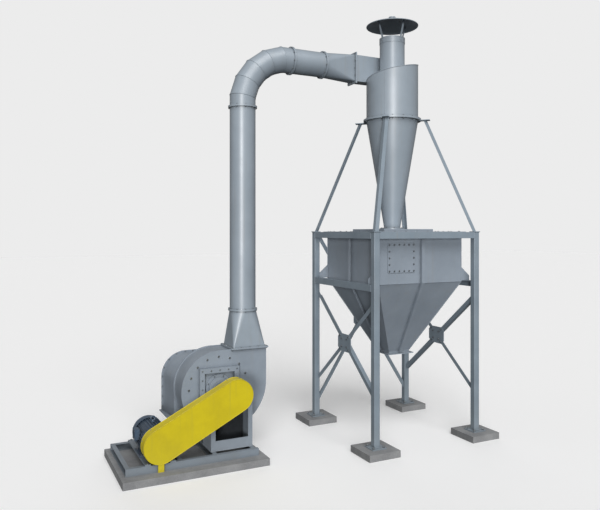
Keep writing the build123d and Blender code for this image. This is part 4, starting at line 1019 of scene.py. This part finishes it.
@dataclass
class DuctRun(SubAssembly):
    """Round duct from the fan up and over to the cyclone."""

    nodes: ClassVar[Names] = (
        "inlet_transition", "straight_duct", "gored_elbow", "riser_duct", "fan_transition")

    radius: float = 0.150  # outside radius of the duct
    bolt_circle: float = 0.1595  # radius of the bolt circle in its rings
    ring_bolts: int = 10  # bolts in a ring joint
    ring_phase: float = 0.25  # where the first of them sits, as a share of their spacing
    grip: float = 0.022  # thickness of a ring joint
    outlet_thick: float = 0.009  # thickness of each flange at the fan's outlet
    outlet_inset: float = 0.014  # distance of the bolts there from the flange's edge
    outlet_rows: tuple[int, int] = (5, 5)  # bolts along its sides, across and along
    elbow_radius: float = 0.585  # middle-line radius of the elbow
    gores: int = 5  # mitres in the elbow
    seam_end: float = 0.012  # how far short of the ends a long seam stops

    def build(self) -> None:
        """Bolted joints, elbow welds and long seams."""
        self.joints()
        self.elbow_welds()
        self.long_seams()

    def joints(self) -> None:
        """Bolts of the four ring joints and of the fan's outlet flange."""
        bolts = MeshDraft()
        riser, straight = middle_of("riser_duct"), middle_of("straight_duct")
        half = self.grip / 2
        joints = [(Vector((riser.x, riser.y, end.z + half)), Z) for end in box_of("riser_duct")]
        joints += [(Vector((end.x + half, straight.y, straight.z)), X) for end in box_of("straight_duct")]
        for centre, axis in joints:
            spread = place_on(centre, axis)
            for turn in turns(self.ring_bolts, self.ring_phase):
                spot = spread @ (self.bolt_circle * Vector((math.cos(turn), math.sin(turn), 0)))
                bolts.through_bolt(spot, axis, self.grip, HexSize.M8)
        low, high = box_of("scroll_outlet_flange")
        inset = self.outlet_inset
        for x, y in rim_spots((low.x + inset, high.x - inset), (low.y + inset, high.y - inset),
                              self.outlet_rows):
            bolts.through_bolt(Vector((x, y, high.z + self.outlet_thick)), Z, 2 * self.outlet_thick,
                               HexSize.M8)
        self.fasteners(bolts, "duct_joint_bolts")

    def elbow_welds(self) -> None:
        """A weld round each mitre of the elbow."""
        welds = MeshDraft()
        riser, straight = middle_of("riser_duct"), middle_of("straight_duct")
        bend = Vector((riser.x + self.elbow_radius, riser.y, straight.z - self.elbow_radius))
        gore = math.pi / 2 / self.gores
        stretch = 1 / math.cos(gore / 2)
        for at in range(self.gores):
            aim = math.pi - gore * (at + 0.5)
            outward = Vector((math.cos(aim), 0, math.sin(aim)))
            centre = bend + self.elbow_radius * stretch * outward
            path = [centre + self.radius * (stretch * math.cos(turn) * outward + math.sin(turn) * Y)
                    for turn in turns(80)]
            welds.bead(path, outward.cross(Y), LIGHT_BEAD, closed=True)
        self.welds(welds, "elbow_mitre_welds", Slot.DUCT)

    def long_seams(self) -> None:
        """The long seam of each rolled length, on the side away from the stand's front."""
        welds = MeshDraft()
        low, high = box_of("riser_duct")
        middle = middle_of("riser_duct")
        back = middle.y + self.radius
        welds.seam(Vector((middle.x, back, low.z + self.seam_end)),
                   Vector((middle.x, back, high.z - self.seam_end)), X, THIN_BEAD)
        low, high = box_of("straight_duct")
        middle = middle_of("straight_duct")
        back = middle.y + self.radius
        welds.seam(Vector((low.x + self.seam_end, back, middle.z)),
                   Vector((high.x - self.seam_end, back, middle.z)), Z, THIN_BEAD)
        self.welds(welds, "duct_long_seams", Slot.DUCT)


@dataclass
class FanCasing(SubAssembly):
    """Fan scroll, suction hood, drive-side frame and bearing pedestal."""

    nodes: ClassVar[Names] = (
        "scroll_wrap", "scroll_outlet_flange", "scroll_front_plate", "scroll_back_plate",
        "suction_hood", "drive_frame", "shaft_seal", "bearing_pedestal", "scroll_foot", "fan_wheel",
        "fan_shaft", "shaft_bearings")

    shaft_height: float = 0.742  # level of the fan's shaft
    scroll_top: float = 0.401  # reach of the scroll above the shaft
    scroll_left: float = 0.413  # reach to the left of it
    scroll_bottom: float = 0.490  # reach below it
    scroll_right: float = 0.564  # reach to the right of it
    scroll_neck: float = 0.39  # level above the shaft where the scroll's welds end
    first_arc: float = 0.425  # radius of the scroll's first quarter
    arc_turn: float = 87.0  # how far the weld follows each quarter, in degrees
    seam_inset: float = 0.002  # how far inside the wrapper's edges the welds' middles lie
    seam_grow: float = 0.001  # how far outside the wrapper they lie
    seal_bolts: int = 8  # bolts in the seal plate
    seal_circle: float = 0.1325  # radius of their circle
    seal_step: float = 0.012  # thickness of one step of the seal plate
    cover_bolts: int = 16  # bolts in the ring on the front plate
    cover_circle: float = 0.342  # radius of that ring
    shelf_gap: float = 0.02  # how far above the pedestal the lowest bolts may sit
    frame_leg: float = 0.055  # width of the drive frame's face
    frame_rows: tuple[int, int] = (5, 5)  # bolts along its sides, across and up
    hood_half: float = 0.455  # half the hood's width at its rim
    hood_top: float = 0.296  # reach of its rim above the shaft
    hood_low: float = 0.370  # reach of it below the shaft
    hood_shoulder: float = 0.270  # radius of the hood's shoulders
    hood_rim: float = 0.018  # width of the rim
    hood_grip: float = 0.004  # thickness of the rim
    hood_flange: float = 0.035  # width of the flange under it
    hood_end: float = 0.05  # height of the rim's lowest bolts above the flange
    bearing_foot: float = 0.022  # thickness of a bearing's foot
    bearing_inset: float = 0.028  # distance of a bearing's middle from its outer face
    bearing_half: float = 0.080  # distance of its bolts from the shaft
    # profile of a grease nipple, as pairs of radius and height
    nipple: Profile = (
        (0.006, 0.0), (0.006, 0.006), (0.0035, 0.008), (0.0035, 0.013), (0.002, 0.015))
    pedestal_wall: float = 0.010  # thickness of the pedestal's walls
    shade_plate_thick: float = 0.004  # thickness of the near-black plate inside its back wall, which paints the shade there
    shade_plate_gap: float = 0.001  # gap between that plate and the walls, and width of its bevel
    shade_plate_foot: float = 0.010  # height of the plate's lower edge in the pedestal
    shade_plate_head: float = 0.020  # distance of its upper edge from the pedestal's top

    @property
    def shaft(self) -> Vector:
        """The shaft's middle line at Y = 0."""
        return Vector((middle_of("shaft_seal").x, 0.0, self.shaft_height))

    def build(self) -> None:
        """Bolts of plates, bearings and hood, the pedestal's weld and painted-shade plate, the scroll's
        welds.
        """
        self.plate_bolts()
        self.bearing_trim()
        self.hood_bolts()
        self.scroll_welds()

    def plate_bolts(self) -> None:
        """Bolts in the square frame, in the seal plate, and in a ring round both."""
        bolts = MeshDraft()
        low, high = box_of("drive_frame")
        reach = 0.5 * (high.x - low.x - self.frame_leg)
        shelf = box_of("bearing_pedestal")[1].z + self.shelf_gap
        for x, z in rim_spots((-reach, reach), (-reach, reach), self.frame_rows):
            spot = self.shaft + Vector((x, low.y, z))
            if spot.z > shelf:
                bolts.hex_head(spot, -Y, HexSize.M8)
        seal_face = box_of("shaft_seal")[1].y - self.seal_step
        for spot in upright_circle(self.shaft + seal_face * Y, self.seal_circle, self.seal_bolts, 0.5):
            bolts.hex_head(spot, -Y, HexSize.M8)
        plate_face = box_of("scroll_front_plate")[0].y
        for spot in upright_circle(self.shaft + plate_face * Y, self.cover_circle, self.cover_bolts):
            if spot.z > shelf:
                bolts.hex_head(spot, -Y, HexSize.M12)
        self.fasteners(bolts, "fan_plate_bolts")

    def bearing_trim(self) -> None:
        """Bolts and grease nipples of the bearings, the pedestal's foot weld and the near-black plate
        inside it that paints its shade.
        """
        bolts, welds, shade_plate = MeshDraft(), MeshDraft(), MeshDraft()
        low, high = box_of("shaft_bearings")
        foot = low.z + self.bearing_foot
        for y in (low.y + self.bearing_inset, high.y - self.bearing_inset):
            for side in (-1, 1):
                spot = Vector((self.shaft.x + side * self.bearing_half, y, foot))
                bolts.hex_head(spot, Z, HexSize.M16)
            bolts.turned(place_on(Vector((self.shaft.x, y, high.z - 2 * SINK)), Z), self.nipple, 12)
        self.fasteners(bolts, "bearing_bolts")
        low, high = box_of("bearing_pedestal")
        welds.rectangle_seam([Vector((x, y, low.z)) for x, y in (
            (low.x, low.y), (high.x, low.y), (high.x, high.y), (low.x, high.y))], HEAVY_BEAD)
        self.welds(welds, "pedestal_foot_weld", Slot.FAN)
        # painted shade: a near-black plate against the pedestal's back wall darkens the inside seen through
        # its window
        inset = self.pedestal_wall + self.shade_plate_gap
        back = high.y - inset
        shade_plate.plate(Vector((low.x + inset, back - self.shade_plate_thick, low.z + self.shade_plate_foot)),
                     Vector((high.x - inset, back, high.z - self.shade_plate_head)), self.shade_plate_gap)
        shade_plate.piece("pedestal_painted_shade_plate", self.palette.shade_sheet_finish, Slot.FAN)

    def hood_bolts(self) -> None:
        """Bolts round the hood's back rim."""
        bolts = MeshDraft()
        lap = self.hood_rim / 2
        half = self.hood_half + lap
        bend = self.hood_shoulder + lap
        back = box_of("suction_hood")[1].y - self.hood_flange
        top = self.shaft_height + self.hood_top + lap
        bottom = self.shaft_height - self.hood_low + self.hood_end
        spots = [(side * half, z) for side in (-1, 1) for z in steps(bottom, top - bend, 4)]
        for side in (-1, 1):
            for turn in (math.pi / 8 * eighth for eighth in (1, 2, 3)):
                spots.append((side * (half - bend + bend * math.cos(turn)),
                              top - bend + bend * math.sin(turn)))
        spots += [(x, top) for x in steps(bend - half, half - bend, 5)]
        for x, z in spots:
            bolts.through_bolt(Vector((self.shaft.x + x, back, z)), Y, self.hood_grip, HexSize.M8)
        self.fasteners(bolts, "hood_rim_bolts")

    def scroll_path(self, level: float, grow: float) -> list[Vector]:
        """The scroll's outline from its tongue round to the outlet.

        Args:
            level: The Y at which it is drawn.
            grow: How far it is moved outwards.

        Returns:
            Points along the outline.
        """
        first_x = self.first_arc - self.scroll_left
        first_z = self.scroll_top - self.first_arc
        second = self.scroll_bottom + first_z
        second_x = second - self.scroll_left
        third = self.scroll_right - second_x
        third_z = third - self.scroll_bottom
        path = []
        for x, z, radius, start in ((first_x, first_z, self.first_arc, 90),
                                    (second_x, first_z, second, 180), (second_x, third_z, third, 270)):
            reach = radius + grow
            for turn in map(math.radians, steps(start, start + self.arc_turn, 30)):
                path.append(Vector((x + reach * math.cos(turn), level, z + reach * math.sin(turn))))
        path += [Vector((self.scroll_right + grow, level, z))
                 for z in steps(third_z, self.scroll_neck, 24)]
        return [self.shaft + spot for spot in path]

    def scroll_welds(self) -> None:
        """Welds between the scroll's wrapper and its two side plates."""
        welds = MeshDraft()
        low, high = box_of("scroll_wrap")
        for level in (low.y + self.seam_inset, high.y - self.seam_inset):
            welds.bead(self.scroll_path(level, self.seam_grow), Y, FILLET_BEAD)
        self.welds(welds, "scroll_welds", Slot.FAN)


@dataclass
class Drive(SubAssembly):
    """Motor, belt guard and the skid that carries the fan."""

    nodes: ClassVar[Names] = (
        "skid_rails", "skid_crossers", "motor_slides", "motor", "motor_cowl", "terminal_box",
        "belt_guard", "guard_back_plate")

    shaft_height: float = 0.326  # level of the motor's shaft
    # radii of the rings in the fan cowl's grille
    cowl_rings: tuple[float, ...] = (0.035, 0.055, 0.075, 0.095, 0.115, 0.135)
    cowl_rays: Pair = (0.02, 0.145)  # where the grille's rays start and end
    ring_wire: float = 0.003  # radius of the rings' wire
    ray_wire: float = 0.0035  # radius of the rays' wire
    grille_lift: float = 0.001  # how far the wires' middles stand off the cowl
    # how far the terminal box's cover stands out of it and laps into it
    cover_depths: Pair = (0.008, 0.004)
    cover_edge: float = 0.003  # how far the cover stands over the box's sides, and width of its bevel
    cover_inset: float = 0.014  # distance of its screws from the box's sides
    cover_screw: float = 0.006  # radius of their heads
    # the gland nut's place from the box's lower corner, along X and up
    gland_spot: Pair = (0.014, 0.004)
    gland: Profile = (  # its profile, as pairs of radius and height
        (0.013, 0.0), (0.016, 0.003), (0.016, 0.013), (0.013, 0.016))
    # where the lifting eye stands, from the motor's middle
    eye_spot: tuple[float, float, float] = (0.0, -0.02, 0.1595)
    eye_foot: Profile = (  # profile of its foot
        (0.022, 0.0), (0.022, 0.005), (0.012, 0.008), (0.010, 0.018))
    # height of its ring's middle, the ring's radius and its wire's radius
    eye_ring: tuple[float, float, float] = (0.037, 0.022, 0.006)
    foot_half: float = 0.127  # distance of a motor foot from the motor's axis
    foot_lap: float = 0.012  # how much farther out its bolts sit
    foot_thick: float = 0.018  # thickness of the foot
    foot_spots: Pair = (-0.105, 0.095)  # where its bolts sit along Y
    slide_inset: float = 0.023  # distance of the slides' bolts from their ends
    shield_face: float = -0.200  # Y of the motor's front end shield
    shield_circle: float = 0.122  # radius of the bolt circle in it
    guard_radius: float = 0.175  # radius of the guard's round ends
    edge_inset: float = 0.001  # how far inside the guard's outline its rolled edges lie
    # how far behind its front the front edge lies, and that edge's radius
    front_edge: Pair = (0.001, 0.0035)
    back_edge: Pair = (0.002, 0.0045)  # the same at its back
    screw_inset: float = 0.02  # distance of its screws from its back
    screw: float = 0.007  # radius of their heads

    @property
    def motor(self) -> Vector:
        """The motor shaft's middle line at Y = 0."""
        return Vector((middle_of("motor_cowl").x, 0.0, self.shaft_height))

    def build(self) -> None:
        """Motor fittings, hold-down bolts and guard trim."""
        self.motor_fittings()
        self.motor_bolts()
        self.guard_trim()

    def motor_fittings(self) -> None:
        """The cowl's grille, the terminal box cover, the gland nut and the lifting eye."""
        fittings = MeshDraft()
        cowl = self.motor + (box_of("motor_cowl")[1].y + self.grille_lift) * Y
        for radius in self.cowl_rings:
            fittings.bead(upright_circle(cowl, radius, 48), Y, self.ring_wire, True, 0.0)
        for near, far in zip(*(upright_circle(cowl, radius, 8) for radius in self.cowl_rays)):
            fittings.bead([near, near.lerp(far, 0.5), far], Y, self.ray_wire, False, 0.0)
        low, high = box_of("terminal_box")
        bottom = high.z - (high.y - low.y)
        out, lap = self.cover_depths
        edge = self.cover_edge
        fittings.plate(Vector((low.x - out, low.y - edge, bottom - edge)),
                       Vector((low.x + lap, high.y + edge, high.z + edge)), edge)
        across, up = self.gland_spot
        gland = Vector((low.x + across, middle_of("terminal_box").y, low.z + up))
        fittings.turned(place_on(gland, Z), self.gland, 6)
        top = self.motor + Vector(self.eye_spot)
        fittings.turned(place_on(top, Z), self.eye_foot, 20)
        lift, radius, wire = self.eye_ring
        fittings.bead(upright_circle(top + lift * Z, radius, 28), Y, wire, True, 0.0)
        fittings.piece("motor_fittings", self.palette.of(Slot.MOTOR), Slot.MOTOR)

    def motor_bolts(self) -> None:
        """Foot bolts, slide bolts, end-shield bolts and cover screws."""
        bolts = MeshDraft()
        low, high = box_of("motor_slides")
        for side in (-1, 1):
            foot = self.motor.x + side * (self.foot_half + self.foot_lap)
            for y in self.foot_spots:
                bolts.hex_head(Vector((foot, y, high.z + self.foot_thick)), Z, HexSize.M12)
            slide = self.motor.x + side * self.foot_half
            for y in (low.y + self.slide_inset, high.y - self.slide_inset):
                bolts.hex_head(Vector((slide, y, high.z)), Z, HexSize.M12)
        for spot in upright_circle(self.motor + self.shield_face * Y, self.shield_circle, 4, 0.5):
            bolts.hex_head(spot, -Y, HexSize.M10)
        low, high = box_of("terminal_box")
        inset = self.cover_inset
        for y in (low.y + inset, high.y - inset):
            for z in (high.z - (high.y - low.y) + inset, high.z - inset):
                bolts.dome(Vector((low.x - self.cover_depths[0], y, z)), -X, self.cover_screw)
        self.fasteners(bolts, "motor_bolts")

    def guard_trim(self) -> None:
        """The guard's rolled edges, and the screws that hold it to its back plate."""
        low, high = box_of("belt_guard")
        fan = Vector((high.x - self.guard_radius, 0.0, high.z - self.guard_radius))
        run = self.motor - fan
        aim = math.atan2(run.z, run.x)

        def outline(inset: float, level: float, count: int) -> list[tuple[Vector, Vector]]:
            """Points of the guard's round-ended outline at one Y, each with its outward direction."""
            spots = []
            for centre, start in ((self.motor, aim - math.pi / 2), (fan, aim + math.pi / 2)):
                for turn in steps(start, start + math.pi, count):
                    outward = Vector((math.cos(turn), 0, math.sin(turn)))
                    spots.append((centre + (self.guard_radius - inset) * outward + level * Y, outward))
            return spots

        edges, screws = MeshDraft(), MeshDraft()
        for level, wire in ((low.y + self.front_edge[0], self.front_edge[1]),
                            (high.y - self.back_edge[0], self.back_edge[1])):
            path = [spot for spot, _ in outline(self.edge_inset, level, 26)]
            edges.bead(path, Y, wire, True, 0.0)
        self.welds(edges, "guard_rolled_edges", Slot.GUARD)
        for spot, outward in outline(0.0, high.y - self.screw_inset, 5):
            screws.dome(spot, outward, self.screw)
        self.fasteners(screws, "guard_screws")


@dataclass(frozen=True)
class Lamp:
    """One far lamp of the studio."""

    name: str  # what it is called
    turn: float  # where it shines from, in degrees about Z from straight in front
    height: float  # how high it stands above the horizon, in degrees
    spread: float  # how wide it looks from the plant, in degrees
    strength: float  # its strength
    gloss: bool = True  # whether it draws highlights

    def hang(self) -> None:
        """Put the lamp into the scene."""
        data = bpy.data.lights.new(self.name, "SUN")
        data.energy = self.strength
        data.angle = math.radians(self.spread)
        lamp = bpy.data.objects.new(self.name, data)
        turn, height = math.radians(self.turn), math.radians(self.height)
        level = math.cos(height)
        source = Vector((math.sin(turn) * level, -math.cos(turn) * level, math.sin(height)))
        lamp.rotation_euler = source.to_track_quat("Z", "Y").to_euler()
        lamp.visible_glossy = self.gloss
        bpy.context.scene.collection.objects.link(lamp)


@dataclass
class Studio:
    """Floor, light and camera."""

    backdrop: str = "#ececec"  # the pale ground and sky the camera sees
    paper: str = "#f4f4f4"  # the floor's own colour, which takes the plant's shadow
    paper_glow: float = 0.152  # what the camera sees added to it, so that it matches the backdrop
    dark_floor: str = "#4a4a49"  # the floor as the plant's undersides see it
    # the soft key lamp, the narrow one that draws the highlights, and a weak one behind
    lamps: tuple[Lamp, ...] = (
        Lamp("key_lamp", -10.0, 48.0, 50.0, 2.0), Lamp("strip_lamp", -30.0, 4.0, 14.0, 1.75),
        Lamp("back_lamp", 153.8, 4.0, 60.0, 1.5, gloss=False))
    fill: float = 0.20  # the level light from all round
    floor_half: float = 60.0  # half the floor's side
    lens: float = 38.04  # the camera's focal length in millimetres
    sensor: float = 36.0  # the width of its sensor in millimetres
    sight: float = 200.0  # how far it sees
    eye: tuple[float, float, float] = (-3.3225, -6.672, 2.475)  # where it stands
    # how far the level camera's frame is moved down, as a share of its width
    horizon_shift: float = -23 / 600
    yaw: float = 26.2  # how far it is turned to the right, in degrees

    def build(self) -> None:
        """Set up the floor, the light, the camera and the view."""
        self.floor()
        for lamp in self.lamps:
            lamp.hang()
        self.surround()
        self.camera()
        bpy.context.scene.view_settings.view_transform = "Standard"

    @staticmethod
    def shown(graph: Graph, carried: Socket, seen: Socket) -> Socket:
        """One shader for rays that only carry the backdrop's light, another for those that see it."""
        camera = graph.add("ShaderNodeLightPath").outputs["Is Camera Ray"]
        return graph.add("ShaderNodeMixShader", {0: camera, 1: carried, 2: seen}).outputs["Shader"]

    def floor(self) -> None:
        """A wide pale floor that takes the plant's shadow."""
        mesh = bpy.data.meshes.new("studio_floor")
        mesh.from_pydata([tuple(spot) for spot in square(Vector(), self.floor_half)], [], [(0, 1, 2, 3)])
        ground = bpy.data.objects.new("studio_floor", mesh)
        bpy.context.scene.collection.objects.link(ground)
        sheet = bpy.data.materials.new("studio_paper")
        sheet.use_nodes = True
        sheet.node_tree.nodes.clear()
        graph = Graph(sheet.node_tree)
        paper = graph.add("ShaderNodeBsdfDiffuse", {"Color": linear(self.paper)}).outputs["BSDF"]
        glow = graph.add("ShaderNodeEmission", {
            "Color": linear(self.backdrop), "Strength": self.paper_glow}).outputs["Emission"]
        pale = graph.add("ShaderNodeAddShader", {0: paper, 1: glow}).outputs["Shader"]
        dark = graph.add("ShaderNodeBsdfDiffuse", {"Color": linear(self.dark_floor)}).outputs["BSDF"]
        graph.add("ShaderNodeOutputMaterial", {"Surface": self.shown(graph, dark, pale)})
        mesh.materials.append(sheet)
        LOG.info("made studio_floor")

    def surround(self) -> None:
        """The level fill, behind which the backdrop shows."""
        world = bpy.data.worlds.new("studio_world")
        world.use_nodes = True
        world.node_tree.nodes.clear()
        graph = Graph(world.node_tree)
        fill, sky = (graph.add("ShaderNodeBackground", {"Color": colour, "Strength": strength})
                     for colour, strength in ((linear("#ffffff"), self.fill), (linear(self.backdrop), 1.0)))
        both = self.shown(graph, fill.outputs["Background"], sky.outputs["Background"])
        graph.add("ShaderNodeOutputWorld", {"Surface": both})
        bpy.context.scene.world = world

    def camera(self) -> None:
        """The camera at the photograph's place and angle."""
        lens = bpy.data.cameras.new("camera")
        lens.lens = self.lens
        lens.sensor_width = self.sensor
        lens.shift_y = self.horizon_shift
        lens.clip_end = self.sight
        eye = bpy.data.objects.new("camera", lens)
        eye.location = self.eye
        eye.rotation_euler = (math.radians(90.0), 0.0, -math.radians(self.yaw))
        bpy.context.scene.collection.objects.link(eye)
        bpy.context.scene.camera = eye


def main() -> None:
    """Build the plant group by group, then the studio."""
    logging.basicConfig(level=logging.INFO, format="%(name)s %(message)s")
    palette = Palette()
    groups: list[SubAssembly] = [kind(palette) for kind in (
        Foundations, Stand, Hopper, Cyclone, DuctRun, FanCasing, Drive)]
    for group in groups:
        group.dress()
        group.build()
    bare = set(frame["nodes"]) - {name for group in groups for name in group.nodes}
    if bare:
        raise ValueError(f"no group dresses {sorted(bare)}")
    Studio().build()


if __name__ == "__main__":
    main()
